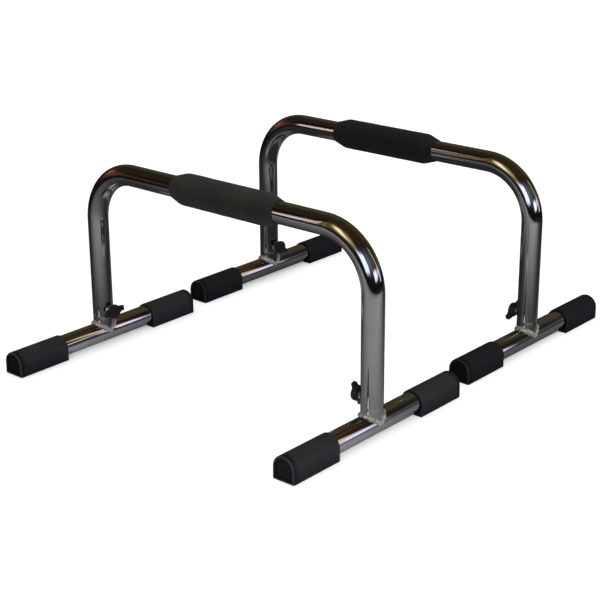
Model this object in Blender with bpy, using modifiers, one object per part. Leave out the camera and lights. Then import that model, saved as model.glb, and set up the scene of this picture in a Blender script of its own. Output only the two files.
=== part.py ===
"""A pair of push-up bars: two bent tube handles on cross feet, each leg clamped by a wing knob.

Metres, +Z up. X runs along the handles, Y along the foot tubes, and the floor is at z = 0. The origin is
under the middle of the pair. The near bar stands at -Y and the far bar at +Y.
"""
import math

import bmesh
import bpy
from mathutils import Matrix, Vector

# Tube stock, the same for handles, foot tubes and uprights
TUBE_RADIUS = 0.0110
TUBE_WALL = 0.0015

# Handle
LEG_SPACING = 0.3700
HANDLE_HEIGHT = 0.1960
BEND_RADIUS = 0.0570
LEG_SEAM_ABOVE_CROWN = 0.0080

# Foam grip
GRIP_LENGTH = 0.1370
GRIP_RADIUS = 0.0165
GRIP_TAPER = 0.0115
GRIP_END_WALL = 0.0010
GRIP_SHIFT = {"near": 0.0040, "far": -0.0070}

# Feet
FOOT_LENGTH = 0.2510
CAP_LENGTH = 0.0640
CAP_WALL = 0.0016
CAP_END_WALL = 0.0040
CAP_CORNER = 0.0012
CAP_EDGE = 0.0009
PANEL_RIM = 0.0020
PANEL_DEPTH = 0.0018

# Spigot: the upright's necked top, which the handle's leg slips over
SPIGOT_LENGTH = 0.0300
SPIGOT_WALL = 0.0015
SPIGOT_TIP = 0.0012
SWAGE_LENGTH = 0.0030
WELD_FRONT = 0.0024
WELD_SIDE = 0.0010

# Clamp: boss, screw and wing knob on the inner side of every leg
CLAMP_ABOVE_CROWN = 0.0150
SCREW_RADIUS = 0.0030
SCREW_TIP = 0.0006
SCREW_HEAD_RADIUS = 0.0040
SCREW_HEAD_LENGTH = 0.0030
SCREW_HEAD_DEPTH = 0.0024
BOSS_RADIUS = 0.0048
BOSS_PROUD = 0.0024
BOSS_ROOT = 0.0020
BOSS_EDGE = 0.0005
KNOB_STANDOFF = 0.0008
HUB_RADIUS = 0.0077
HUB_BASE_RADIUS = 0.0060
HUB_FLARE = 0.0020
HUB_LENGTH = 0.0066
HUB_DOME = 0.0012
WING_SPAN = 0.0266
WING_DEPTH = 0.0059
WING_SLANT = 0.0028
WING_THICKNESS = 0.0068
WING_CORNER = 0.0012
WING_EDGE = 0.0009
SCOOP_RADIUS = 0.0050
SCOOP_DEPTH = 0.0009
WING_ANGLE = {
    ("near", "left"): 6.0,
    ("near", "right"): -66.0,
    ("far", "left"): -34.0,
    ("far", "right"): 28.0,
}

# How the two bars stand
BAR_GAP = 0.0285
FAR_BAR_SHIFT = -0.0100

# Clearances: what is welded or pushed together, what slides, and what turns
SEAT_GAP = 0.0003
SLIDE_GAP = 0.00025
THREAD_GAP = 0.0003

# Facets
ROUND_STEPS = 20
BEND_STEPS = 8
SMALL_STEPS = 16
ARCH_STEPS = 12
CORNER_STEPS = 3

# Worked out from the sizes above
FOOT_AXIS = TUBE_RADIUS + CAP_WALL
CROWN = FOOT_AXIS + TUBE_RADIUS
SEAM = CROWN + LEG_SEAM_ABOVE_CROWN
CLAMP_HEIGHT = CROWN + CLAMP_ABOVE_CROWN
CAP_RADIUS = TUBE_RADIUS + CAP_WALL
SPIGOT_RADIUS = TUBE_RADIUS - TUBE_WALL - SLIDE_GAP
SPIGOT_TOP = SEAM + SPIGOT_LENGTH
SCREW_TIP_AT = SPIGOT_RADIUS + SEAT_GAP
KNOB_BASE_AT = TUBE_RADIUS + BOSS_PROUD + KNOB_STANDOFF
BAR_SPACING = FOOT_LENGTH + BAR_GAP
CUT_MARGIN = 0.002

PARTS = bpy.data.collections.new("push_up_bars")
CUTTERS = bpy.data.collections.new("cutters")

STEEL_CHROME = ("chrome_steel", (0.72, 0.73, 0.75), 0.08, 1.0)
WELD_CHROME = ("chrome_weld", (0.66, 0.66, 0.66), 0.22, 1.0)
BLACK_FOAM = ("black_foam", (0.028, 0.029, 0.024), 0.92, 0.0)
CAP_RUBBER = ("cap_rubber", (0.022, 0.024, 0.028), 0.48, 0.0)
KNOB_PLASTIC = ("knob_plastic", (0.010, 0.010, 0.011), 0.40, 0.0)
ZINC_STEEL = ("zinc_steel", (0.60, 0.60, 0.58), 0.30, 1.0)


def clear_scene():
    """Remove every object of the start-up scene."""
    for old in list(bpy.data.objects):
        bpy.data.objects.remove(old, do_unlink=True)


def material(finish):
    """Return the material of a finish, made once."""
    name, colour, roughness, metallic = finish
    found = bpy.data.materials.get(name)
    if found is not None:
        return found
    made = bpy.data.materials.new(name)
    made.use_nodes = True
    shader = made.node_tree.nodes["Principled BSDF"]
    shader.inputs["Base Color"].default_value = (*colour, 1.0)
    shader.inputs["Roughness"].default_value = roughness
    shader.inputs["Metallic"].default_value = metallic
    made.diffuse_color = (*colour, 1.0)
    return made


def add_object(name, data, finish=None, parent=None):
    """Put data in the scene: with a finish it is a part, without one it is a cutter."""
    made = bpy.data.objects.new(name, data)
    made.parent = parent
    if finish is None:
        CUTTERS.objects.link(made)
        made.hide_render = True
        made.display_type = "WIRE"
    else:
        PARTS.objects.link(made)
        data.materials.append(material(finish))
    return made


def add_empty(name, place, parent=None):
    """Add an empty at a place given in its parent's frame."""
    made = bpy.data.objects.new(name, None)
    made.empty_display_size = 0.02
    made.location = place
    made.parent = parent
    PARTS.objects.link(made)
    return made


def smooth(mesh, angle=35.0):
    """Shade a mesh smooth, with edges sharper than the angle left sharp."""
    mesh.shade_smooth()
    mesh.set_sharp_from_angle(angle=math.radians(angle))


def as_mesh(source, name):
    """Return the evaluated form of a curve or modified object as a mesh, and remove the source."""
    graph = bpy.context.evaluated_depsgraph_get()
    mesh = bpy.data.meshes.new_from_object(source.evaluated_get(graph))
    mesh.name = name
    mesh.transform(source.matrix_world)
    mesh.materials.clear()
    old = source.data
    bpy.data.objects.remove(source, do_unlink=True)
    if isinstance(old, bpy.types.Curve):
        bpy.data.curves.remove(old)
    shape = bmesh.new()
    shape.from_mesh(mesh)
    bmesh.ops.remove_doubles(shape, verts=shape.verts, dist=0.000005)
    bmesh.ops.recalc_face_normals(shape, faces=shape.faces)
    shape.to_mesh(mesh)
    shape.free()
    return mesh


def turned_mesh(name, profile, steps, closed=True):
    """Turn a profile of (radius, height) points about Z. A closed profile makes a ring with a bore."""
    flat = bpy.data.meshes.new(name + "_profile")
    points = [(radius, 0.0, height) for radius, height in profile]
    edges = [(i, i + 1) for i in range(len(points) - 1)]
    if closed:
        edges.append((len(points) - 1, 0))
    flat.from_pydata(points, edges, [])
    blank = add_object(name + "_blank", flat)
    screw = blank.modifiers.new("Turn", "SCREW")
    screw.axis = "Z"
    screw.angle = 2.0 * math.pi
    screw.steps = steps
    screw.render_steps = steps
    screw.use_merge_vertices = True
    screw.merge_threshold = 0.00001
    mesh = as_mesh(blank, name)
    bpy.data.meshes.remove(flat)
    smooth(mesh)
    return mesh


def cylinder_mesh(name, radius, length, steps):
    """A plain cylinder along Z, centred on its middle."""
    mesh = bpy.data.meshes.new(name)
    shape = bmesh.new()
    bmesh.ops.create_cone(shape, cap_ends=True, segments=steps, radius1=radius, radius2=radius, depth=length)
    shape.to_mesh(mesh)
    shape.free()
    return mesh


def outline_mesh(name, outline, thickness):
    """Extrude a closed outline in the XY plane evenly to both sides of it."""
    curve = bpy.data.curves.new(name + "_outline", "CURVE")
    curve.dimensions = "2D"
    curve.fill_mode = "BOTH"
    curve.extrude = thickness / 2.0
    line = curve.splines.new("POLY")
    line.points.add(len(outline) - 1)
    for point, (x, y) in zip(line.points, outline):
        point.co = (x, y, 0.0, 1.0)
    line.use_cyclic_u = True
    return as_mesh(add_object(name + "_outline", curve), name)


def rounded(corners):
    """Round each corner of a closed outline. A corner is (x, y, radius)."""
    points = []
    count = len(corners)
    for i, (x, y, radius) in enumerate(corners):
        here = Vector((x, y))
        if radius <= 0.0:
            points.append((x, y))
            continue
        back = (Vector(corners[i - 1][:2]) - here).normalized()
        ahead = (Vector(corners[(i + 1) % count][:2]) - here).normalized()
        half = back.angle(ahead) / 2.0
        centre = here + (back + ahead).normalized() * (radius / math.sin(half))
        start = here + back * (radius / math.tan(half)) - centre
        sweep = -start.angle_signed(here + ahead * (radius / math.tan(half)) - centre)
        for step in range(CORNER_STEPS + 1):
            turn = Matrix.Rotation(sweep * step / CORNER_STEPS, 2)
            points.append(tuple(centre + turn @ start))
    return points


def boolean(target, cutter, operation="DIFFERENCE"):
    """Cut the cutter from the target, or join it on."""
    step = target.modifiers.new(operation.title(), "BOOLEAN")
    step.operation = operation
    step.solver = "EXACT"
    step.object = cutter
    return step


def bevel(target, width, segments=1, angle=40.0):
    """Round the target's sharp edges."""
    step = target.modifiers.new("Bevel", "BEVEL")
    step.width = width
    step.segments = segments
    step.limit_method = "ANGLE"
    step.angle_limit = math.radians(angle)
    return step


def handle_path():
    """Points of the handle's centre line: up the left leg, along the top, and down the right leg."""
    half = LEG_SPACING / 2.0
    bend_x = half - BEND_RADIUS
    bend_z = HANDLE_HEIGHT - BEND_RADIUS
    right = []
    for step in range(BEND_STEPS + 1):
        turn = 0.5 * math.pi * step / BEND_STEPS
        right.append((bend_x + BEND_RADIUS * math.sin(turn), bend_z + BEND_RADIUS * math.cos(turn)))
    right.append((half, SEAM + SEAT_GAP))
    left = [(-x, z) for x, z in reversed(right)]
    return [(x, 0.0, z) for x, z in left + right]


def handle_mesh():
    """The bent tube: an open swept surface that gets its wall on the inside."""
    curve = bpy.data.curves.new("handle_path", "CURVE")
    curve.dimensions = "3D"
    curve.bevel_depth = TUBE_RADIUS
    curve.bevel_resolution = (ROUND_STEPS - 4) // 2
    points = handle_path()
    line = curve.splines.new("POLY")
    line.points.add(len(points) - 1)
    for point, place in zip(line.points, points):
        point.co = (*place, 1.0)
    mesh = as_mesh(add_object("handle_path", curve), "handle_tube")
    smooth(mesh)
    return mesh


def grip_mesh():
    """The foam sleeve, turned about Z, with a bore and ends that taper in a slight curve."""
    half = GRIP_LENGTH / 2.0
    bore = TUBE_RADIUS + SEAT_GAP
    end = bore + GRIP_END_WALL
    curve_steps = 4
    shoulder = []
    for step in range(curve_steps + 1):
        turn = 0.5 * math.pi * step / curve_steps
        along = half - GRIP_TAPER * (1.0 - math.sin(turn)) ** 1.3
        out = GRIP_RADIUS - (GRIP_RADIUS - end) * (1.0 - math.cos(turn)) ** 0.9
        shoulder.append((out, along))
    upper = list(reversed(shoulder))
    lower = [(radius, -height) for radius, height in shoulder]
    return turned_mesh("grip", upper + lower + [(bore, -half), (bore, half)], ROUND_STEPS)


def foot_tube_mesh():
    """The straight foot tube, which ends inside the two caps."""
    half = FOOT_LENGTH / 2.0 - CAP_END_WALL - SEAT_GAP
    inner = TUBE_RADIUS - TUBE_WALL
    profile = [(TUBE_RADIUS, half), (TUBE_RADIUS, -half), (inner, -half), (inner, half)]
    return turned_mesh("foot_tube", profile, ROUND_STEPS)


def tunnel_outline(radius, floor, corner):
    """A half-round arch on upright sides and a flat floor, about the tube's centre."""
    arch = []
    for step in range(ARCH_STEPS + 1):
        turn = math.pi * step / ARCH_STEPS
        arch.append((radius * math.cos(turn), radius * math.sin(turn), 0.0))
    return rounded(arch + [(-radius, -floor, corner), (radius, -floor, corner)])


def make_cap(name, place, turn, foot):
    """An end cap. Its local +Z points out of the closed end, and its local +Y is up."""
    body = outline_mesh(name, tunnel_outline(CAP_RADIUS, FOOT_AXIS, CAP_CORNER), CAP_LENGTH)
    cap = add_object(name, body, CAP_RUBBER, foot)
    cap.location = place
    cap.rotation_euler = turn
    bevel(cap, CAP_EDGE)
    bore_length = CAP_LENGTH - CAP_END_WALL + CUT_MARGIN
    bore = cylinder_mesh(name + "_bore", TUBE_RADIUS + SEAT_GAP, bore_length, ROUND_STEPS)
    bore_cutter = add_object(name + "_bore", bore, None, cap)
    bore_cutter.location.z = -CAP_LENGTH / 2.0 - CUT_MARGIN + bore_length / 2.0
    boolean(cap, bore_cutter)
    panel_outline = tunnel_outline(CAP_RADIUS - PANEL_RIM, FOOT_AXIS - PANEL_RIM, CAP_CORNER)
    panel = outline_mesh(name + "_panel", panel_outline, 2.0 * PANEL_DEPTH)
    panel_cutter = add_object(name + "_panel", panel, None, cap)
    panel_cutter.location.z = CAP_LENGTH / 2.0
    boolean(cap, panel_cutter)
    smooth(body)
    return cap


def upright_mesh():
    """The upright: tube size below the seam, swaged in above it to slide inside the leg."""
    inner = TUBE_RADIUS - TUBE_WALL
    neck = SPIGOT_RADIUS - SPIGOT_WALL
    profile = [
        (SPIGOT_RADIUS - SPIGOT_TIP, SPIGOT_TOP),
        (SPIGOT_RADIUS, SPIGOT_TOP - SPIGOT_TIP),
        (SPIGOT_RADIUS, SEAM),
        (TUBE_RADIUS, SEAM),
        (TUBE_RADIUS, FOOT_AXIS),
        (inner, FOOT_AXIS),
        (inner, SEAM - SWAGE_LENGTH),
        (neck, SEAM),
        (neck, SPIGOT_TOP),
    ]
    return turned_mesh("upright", profile, ROUND_STEPS)


def weld_mesh():
    """A rope of metal laid along the saddle, fatter in front and behind than at the sides."""
    curve = bpy.data.curves.new("weld_rope", "CURVE")
    curve.dimensions = "3D"
    curve.bevel_depth = 1.0
    curve.bevel_resolution = 2
    line = curve.splines.new("POLY")
    line.points.add(ROUND_STEPS - 1)
    line.use_cyclic_u = True
    for step, point in enumerate(line.points):
        turn = 2.0 * math.pi * (step + 0.5) / ROUND_STEPS
        across = TUBE_RADIUS * math.cos(turn)
        along = TUBE_RADIUS * math.sin(turn)
        point.co = (across, along, FOOT_AXIS + abs(along), 1.0)
        point.radius = WELD_SIDE + (WELD_FRONT - WELD_SIDE) * abs(math.sin(turn))
    return as_mesh(add_object("weld_rope", curve), "weld_bead")


def boss_mesh():
    """The clamp boss, along local +Z out of the leg's axis."""
    bore = SCREW_RADIUS + THREAD_GAP
    top = TUBE_RADIUS + BOSS_PROUD
    foot = TUBE_RADIUS - BOSS_ROOT
    profile = [
        (BOSS_RADIUS - BOSS_EDGE, top),
        (BOSS_RADIUS, top - BOSS_EDGE),
        (BOSS_RADIUS, foot),
        (bore, foot),
        (bore, top),
    ]
    return turned_mesh("clamp_boss", profile, SMALL_STEPS)


def screw_mesh():
    """The clamp screw: a plain shank with a cone tip, and the round head that the knob is moulded on."""
    head_top = KNOB_BASE_AT + SCREW_HEAD_DEPTH + SCREW_HEAD_LENGTH
    head_foot = KNOB_BASE_AT + SCREW_HEAD_DEPTH
    profile = [
        (0.0, head_top),
        (SCREW_HEAD_RADIUS, head_top),
        (SCREW_HEAD_RADIUS, head_foot),
        (SCREW_RADIUS, head_foot),
        (SCREW_RADIUS, SCREW_TIP_AT + SCREW_TIP),
        (SCREW_RADIUS - SCREW_TIP, SCREW_TIP_AT),
        (0.0, SCREW_TIP_AT),
    ]
    return turned_mesh("clamp_screw", profile, SMALL_STEPS, closed=False)


def hub_mesh():
    """The knob's hub, turned about local Z: a neck that flares out to a drum with a domed face."""
    base = KNOB_BASE_AT
    top = base + HUB_LENGTH
    dome_steps = 3
    profile = [(0.0, top)]
    for step in range(1, dome_steps + 1):
        turn = 0.5 * math.pi * step / dome_steps
        profile.append((HUB_RADIUS * math.sin(turn), top - HUB_DOME * (1.0 - math.cos(turn))))
    profile += [(HUB_RADIUS, base + HUB_FLARE), (HUB_BASE_RADIUS, base), (0.0, base)]
    return turned_mesh("wing_knob", profile, ROUND_STEPS, closed=False)


def wing_outline():
    """The two wings seen from the side, with their inner corners cut back. Local X runs across the knob."""
    half = WING_SPAN / 2.0
    low = KNOB_BASE_AT
    high = low + WING_DEPTH
    corners = [
        (half, low + WING_SLANT, WING_CORNER),
        (half, high, WING_CORNER),
        (-half, high, WING_CORNER),
        (-half, low + WING_SLANT, WING_CORNER),
        (-half + WING_SLANT, low, WING_CORNER),
        (half - WING_SLANT, low, WING_CORNER),
    ]
    return rounded(corners)


def wings_mesh():
    """The wing bar with a thumb scoop on both sides of each wing."""
    bar = add_object("wing_bar", outline_mesh("wings", wing_outline(), WING_THICKNESS))
    bevel(bar, WING_EDGE)
    middle = (HUB_RADIUS + WING_SPAN / 2.0) / 2.0
    out = WING_THICKNESS / 2.0 - SCOOP_DEPTH + SCOOP_RADIUS
    scoop = cylinder_mesh("scoop", SCOOP_RADIUS, 3.0 * WING_DEPTH, ROUND_STEPS)
    for x in (-middle, middle):
        for z in (-out, out):
            cutter = add_object("scoop", scoop)
            cutter.location = (x, KNOB_BASE_AT, z)
            cutter.rotation_euler.x = math.pi / 2.0
            boolean(bar, cutter)
    bpy.context.view_layer.update()
    return as_mesh(bar, "wings")


def pocket_mesh():
    """The hollow in the knob that the screw's shank and head fill, with its moulding clearance."""
    neck = SCREW_RADIUS + SEAT_GAP
    room = SCREW_HEAD_RADIUS + SEAT_GAP
    head_foot = KNOB_BASE_AT + SCREW_HEAD_DEPTH - SEAT_GAP
    head_top = KNOB_BASE_AT + SCREW_HEAD_DEPTH + SCREW_HEAD_LENGTH + SEAT_GAP
    mouth = KNOB_BASE_AT - CUT_MARGIN
    profile = [
        (0.0, head_top),
        (room, head_top),
        (room, head_foot),
        (neck, head_foot),
        (neck, mouth),
        (0.0, mouth),
    ]
    return turned_mesh("pocket", profile, SMALL_STEPS, closed=False)


def make_clamp(bar, side, prefix, leg_x, bar_empty, shared, leg):
    """The boss, screw and knob on the inner side of one leg. Their local +Z points from the leg inward."""
    inward = 1.0 if side == "left" else -1.0
    axis = add_empty(prefix + "clamp_axis", (leg_x, 0.0, CLAMP_HEIGHT), bar_empty)
    axis.rotation_euler = (0.0, inward * math.pi / 2.0, 0.0)
    boss = add_object(prefix + "clamp_boss", shared["boss"].copy(), ZINC_STEEL, axis)
    saddle = add_object(prefix + "boss_saddle", shared["tube_cutter"], None, axis)
    saddle.rotation_euler = (0.0, math.pi / 2.0, 0.0)
    boolean(boss, saddle)
    add_object(prefix + "clamp_screw", shared["screw"].copy(), ZINC_STEEL, axis)
    hole = add_object(prefix + "screw_hole", shared["screw_hole"], None, axis)
    hole.location.z = TUBE_RADIUS
    boolean(leg, hole)
    knob = add_object(prefix + "wing_knob", shared["hub"].copy(), KNOB_PLASTIC, axis)
    knob.rotation_euler.z = inward * math.radians(WING_ANGLE[(bar, side)])
    wings = add_object(prefix + "wings", shared["wings"], None, knob)
    wings.rotation_euler = (math.pi / 2.0, 0.0, math.pi / 2.0)
    boolean(knob, wings, "UNION")
    pocket = add_object(prefix + "pocket", shared["pocket"], None, knob)
    boolean(knob, pocket)


def make_foot(bar, side, leg_x, bar_empty, shared):
    """One foot: the cross tube with its two caps, and the welded upright that the leg slips over."""
    prefix = bar + "_" + side + "_"
    foot = add_empty(prefix + "foot", (leg_x, 0.0, 0.0), bar_empty)
    tube = add_object(prefix + "foot_tube", shared["foot_tube"].copy(), STEEL_CHROME, foot)
    tube.location.z = FOOT_AXIS
    tube.rotation_euler.x = math.pi / 2.0
    upright = add_object(prefix + "upright", shared["upright"].copy(), STEEL_CHROME, foot)
    saddle = add_object(prefix + "saddle", shared["tube_cutter"], None, foot)
    saddle.location.z = FOOT_AXIS
    saddle.rotation_euler.x = math.pi / 2.0
    boolean(upright, saddle)
    bead = add_object(prefix + "weld_bead", shared["weld"].copy(), WELD_CHROME, foot)
    post = add_object(prefix + "bead_post", shared["tube_cutter"], None, foot)
    post.location.z = FOOT_AXIS
    boolean(bead, saddle)
    boolean(bead, post)
    middle = FOOT_LENGTH / 2.0 - CAP_LENGTH / 2.0
    outward = -1.0 if bar == "near" else 1.0
    for name, way in (("outer_cap", outward), ("inner_cap", -outward)):
        turn = (math.pi / 2.0, 0.0, 0.0 if way < 0.0 else math.pi)
        make_cap(prefix + name, (0.0, way * middle, FOOT_AXIS), turn, foot)


def make_bar(bar, centre_x, centre_y, shared):
    """One complete push-up bar."""
    bar_empty = add_empty(bar + "_bar", (centre_x, centre_y, 0.0))
    handle = add_object(bar + "_handle_tube", shared["handle"].copy(), STEEL_CHROME, bar_empty)
    wall = handle.modifiers.new("Wall", "SOLIDIFY")
    wall.thickness = TUBE_WALL
    wall.offset = -1.0
    wall.use_even_offset = True
    wall.use_rim = True
    grip = add_object(bar + "_grip", shared["grip"].copy(), BLACK_FOAM, bar_empty)
    grip.location = (GRIP_SHIFT[bar], 0.0, HANDLE_HEIGHT)
    grip.rotation_euler.y = math.pi / 2.0
    for side, leg_x in (("left", -LEG_SPACING / 2.0), ("right", LEG_SPACING / 2.0)):
        make_foot(bar, side, leg_x, bar_empty, shared)
        make_clamp(bar, side, bar + "_" + side + "_", leg_x, bar_empty, shared, handle)


def shared_meshes():
    """The meshes that more than one piece uses, made once."""
    return {
        "handle": handle_mesh(),
        "grip": grip_mesh(),
        "foot_tube": foot_tube_mesh(),
        "upright": upright_mesh(),
        "weld": weld_mesh(),
        "boss": boss_mesh(),
        "screw": screw_mesh(),
        "hub": hub_mesh(),
        "wings": wings_mesh(),
        "pocket": pocket_mesh(),
        "tube_cutter": cylinder_mesh("tube_cutter", TUBE_RADIUS + SEAT_GAP, 6.0 * TUBE_RADIUS, ROUND_STEPS),
        "screw_hole": cylinder_mesh("screw_hole", SCREW_RADIUS + THREAD_GAP, 2.0 * TUBE_RADIUS, SMALL_STEPS),
    }


def main():
    """Build the pair."""
    clear_scene()
    bpy.context.scene.collection.children.link(PARTS)
    bpy.context.scene.collection.children.link(CUTTERS)
    shared = shared_meshes()
    make_bar("near", -FAR_BAR_SHIFT / 2.0, -BAR_SPACING / 2.0, shared)
    make_bar("far", FAR_BAR_SHIFT / 2.0, BAR_SPACING / 2.0, shared)


main()
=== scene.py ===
"""The looks of a pair of push-up bars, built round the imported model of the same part.

Metres, +Z up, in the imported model's frame: X runs along the handles, Y along the foot tubes, and the floor is
at z = 0. Every piece here takes the place of one node of the model and moves with that node's body.
"""

import logging
import math
from dataclasses import dataclass
from enum import Enum
from functools import cache
from typing import Callable, Sequence

import bmesh
import bpy
from mathutils import Matrix, Vector, noise


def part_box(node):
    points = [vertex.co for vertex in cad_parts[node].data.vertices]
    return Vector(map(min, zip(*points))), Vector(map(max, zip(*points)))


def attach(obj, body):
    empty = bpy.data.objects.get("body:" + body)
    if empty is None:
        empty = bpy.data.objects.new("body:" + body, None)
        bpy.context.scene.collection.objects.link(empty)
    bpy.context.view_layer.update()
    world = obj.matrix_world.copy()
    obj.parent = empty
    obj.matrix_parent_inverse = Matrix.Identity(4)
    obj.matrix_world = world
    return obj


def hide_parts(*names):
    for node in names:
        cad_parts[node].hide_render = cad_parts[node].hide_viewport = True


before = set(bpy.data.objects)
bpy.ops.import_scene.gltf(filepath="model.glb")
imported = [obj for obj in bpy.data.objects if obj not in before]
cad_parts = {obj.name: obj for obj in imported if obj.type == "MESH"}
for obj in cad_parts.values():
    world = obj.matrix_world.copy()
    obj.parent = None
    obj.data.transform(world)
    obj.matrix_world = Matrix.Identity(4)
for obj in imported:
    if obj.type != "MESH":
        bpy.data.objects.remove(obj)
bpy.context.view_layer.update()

LOG = logging.getLogger("push_up_bars")
FULL_TURN = 2.0 * math.pi
QUARTER_TURN = 0.5 * math.pi
MERGE = 0.000002
NUMBER = "NodeSocketFloat"
COUNT = "NodeSocketInt"
CROWN = "crown"
RIM = "rim"
RECESS = "recess"

FOOT_LENGTH = 0.2510
BAR_GAP = 0.0285
BAR_SHIFT = 0.0100

Point = tuple[float, float]
Corner = tuple[float, float, float]
Colour = tuple[float, float, float]
Ring = list[Vector]
Feed = float | Sequence[float] | bpy.types.NodeSocket


class Bar(Enum):
    """One of the two bars: its word in names, and the Y direction that points away from the other bar."""

    NEAR = ("near", -1.0)
    FAR = ("far", 1.0)

    @property
    def label(self) -> str:
        """The bar's word in names."""
        return self.value[0]

    @property
    def outward(self) -> float:
        """The Y direction that points away from the other bar."""
        return self.value[1]

    @property
    def centre(self) -> Vector:
        """The middle of the bar on the floor."""
        return Vector((-BAR_SHIFT, FOOT_LENGTH + BAR_GAP, 0.0)) * (self.outward / 2.0)


class Side(Enum):
    """An end of a bar."""

    LEFT = "left"
    RIGHT = "right"

    @property
    def inward(self) -> float:
        """The X direction that points from the leg to the middle of the bar."""
        return 1.0 if self is Side.LEFT else -1.0


class CapEnd(Enum):
    """Which end of a foot tube a cap is on: away from the other bar, or towards it."""

    OUTER = 1.0
    INNER = -1.0

    @property
    def label(self) -> str:
        """The end's word in names."""
        return self.name.lower()


class Slot(Enum):
    """The record's material slots."""

    CHROME = "chrome_tube"
    WELD = "weld"
    FOAM = "foam"
    CAP = "cap_rubber"
    ZINC = "zinc_steel"
    KNOB = "knob_plastic"


# Mesh building


def circle(radius: float, height: float, sides: int) -> Ring:
    """A level ring about Z.

    Args:
        radius: The ring's radius.
        height: Its height.
        sides: How many points it has.

    Returns:
        The ring's points, anticlockwise from +X.
    """
    turns = [FULL_TURN * i / sides for i in range(sides)]
    return [Vector((radius * math.cos(a), radius * math.sin(a), height)) for a in turns]


def fillet(corners: Sequence[Corner], steps: int, closed: bool) -> list[Point]:
    """Round the corners of an outline.

    Args:
        corners: Points with the radius of the arc that replaces each.
        steps: How many pieces an arc has.
        closed: Whether the last point is joined to the first.

    Returns:
        The outline's points, with an arc in place of each corner that has a radius.
    """
    points: list[Point] = []
    last = len(corners) - 1
    for i, (x, y, radius) in enumerate(corners):
        if radius <= 0.0 or (not closed and i in (0, last)):
            points.append((x, y))
            continue
        here = Vector((x, y))
        back = (Vector(corners[i - 1][:2]) - here).normalized()
        ahead = (Vector(corners[(i + 1) % len(corners)][:2]) - here).normalized()
        half = back.angle(ahead) / 2.0
        centre = here + (back + ahead).normalized() * (radius / math.sin(half))
        start = here + back * (radius / math.tan(half)) - centre
        end = here + ahead * (radius / math.tan(half)) - centre
        sweep = -start.angle_signed(end)
        for step in range(steps + 1):
            place = centre + Matrix.Rotation(sweep * step / steps, 2) @ start
            points.append((place.x, place.y))
    return points


def divided(points: Sequence[Point], longest: float) -> list[Point]:
    """Add points to the long stretches of an outline.

    Args:
        points: The outline.
        longest: The longest stretch that is left.

    Returns:
        The outline with its own points and the added ones.
    """
    made = [points[0]]
    for start, end in zip(points, points[1:]):
        parts = math.ceil(math.dist(start, end) / longest)
        for i in range(1, parts + 1):
            share = i / parts
            made.append((start[0] + (end[0] - start[0]) * share, start[1] + (end[1] - start[1]) * share))
    return made


def merge(shape: bmesh.types.BMesh) -> None:
    """Join doubled points and turn every face outwards."""
    bmesh.ops.remove_doubles(shape, verts=shape.verts, dist=MERGE)
    bmesh.ops.recalc_face_normals(shape, faces=shape.faces)


def to_mesh(shape: bmesh.types.BMesh, name: str) -> bpy.types.Mesh:
    """Keep a finished shape as a mesh.

    Args:
        shape: The shape, which is freed.
        name: The mesh's name.

    Returns:
        The new mesh.
    """
    mesh = bpy.data.meshes.new(name)
    shape.to_mesh(mesh)
    shape.free()
    return mesh


def loft(name: str, rings: Sequence[Ring], looped: bool = False) -> bpy.types.Mesh:
    """Skin a row of rings that have the same number of points.

    Args:
        name: The mesh's name.
        rings: The rings in order. A ring whose points all meet becomes a pole.
        looped: Whether the last ring is joined to the first, as in a wall round a bore.

    Returns:
        A closed mesh whose faces point outwards.
    """
    shape = bmesh.new()
    rows = [[shape.verts.new(p) for p in ring] for ring in rings]
    pairs = list(zip(rows, rows[1:]))
    if looped:
        pairs.append((rows[-1], rows[0]))
    for lower, upper in pairs:
        for i in range(len(lower)):
            k = (i + 1) % len(lower)
            shape.faces.new((lower[i], lower[k], upper[k], upper[i]))
    merge(shape)
    return to_mesh(shape, name)


def turned(name: str, profile: Sequence[Point], sides: int, looped: bool = False) -> bpy.types.Mesh:
    """Turn a profile of (radius, height) about Z, closed on itself where it is looped."""
    return loft(name, [circle(r, z, sides) for r, z in profile], looped)


def smooth(mesh: bpy.types.Mesh, angle: float = 32.0) -> bpy.types.Mesh:
    """Shade a mesh smooth.

    Args:
        mesh: The mesh.
        angle: Edges that are sharper than this stay sharp, in degrees.

    Returns:
        The same mesh.
    """
    mesh.shade_smooth()
    mesh.set_sharp_from_angle(angle=math.radians(angle))
    return mesh


def linked(name: str, data: bpy.types.ID) -> bpy.types.Object:
    """Put new data in the scene.

    Args:
        name: The object's name.
        data: Its mesh, camera or light.

    Returns:
        The object, at the origin.
    """
    made = bpy.data.objects.new(name, data)
    bpy.context.scene.collection.objects.link(made)
    return made


def as_mesh(source: bpy.types.Object, name: str) -> bpy.types.Mesh:
    """Turn a working object with its modifiers into a plain mesh.

    Args:
        source: The object, which is removed.
        name: The new mesh's name.

    Returns:
        The evaluated mesh.
    """
    bpy.context.view_layer.update()
    graph = bpy.context.evaluated_depsgraph_get()
    mesh = bpy.data.meshes.new_from_object(source.evaluated_get(graph))
    mesh.name = name
    mesh.materials.clear()
    source.modifiers.clear()
    bpy.data.objects.remove(source, do_unlink=True)
    return mesh


def placed(mesh: bpy.types.Mesh, place: Matrix) -> bpy.types.Mesh:
    """Copy a mesh to its place.

    Args:
        mesh: The mesh that is copied.
        place: Where the copy goes.

    Returns:
        The copy.
    """
    copy = mesh.copy()
    copy.transform(place)
    return copy


def turned_to(x: Vector, y: Vector, z: Vector, origin: Vector) -> Matrix:
    """Make a matrix from its axes.

    Args:
        x: Where local X points.
        y: Where local Y points.
        z: Where local Z points.
        origin: Where the local origin goes.

    Returns:
        The matrix.
    """
    made = Matrix((x, y, z)).transposed().to_4x4()
    made.translation = origin
    return made


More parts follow.
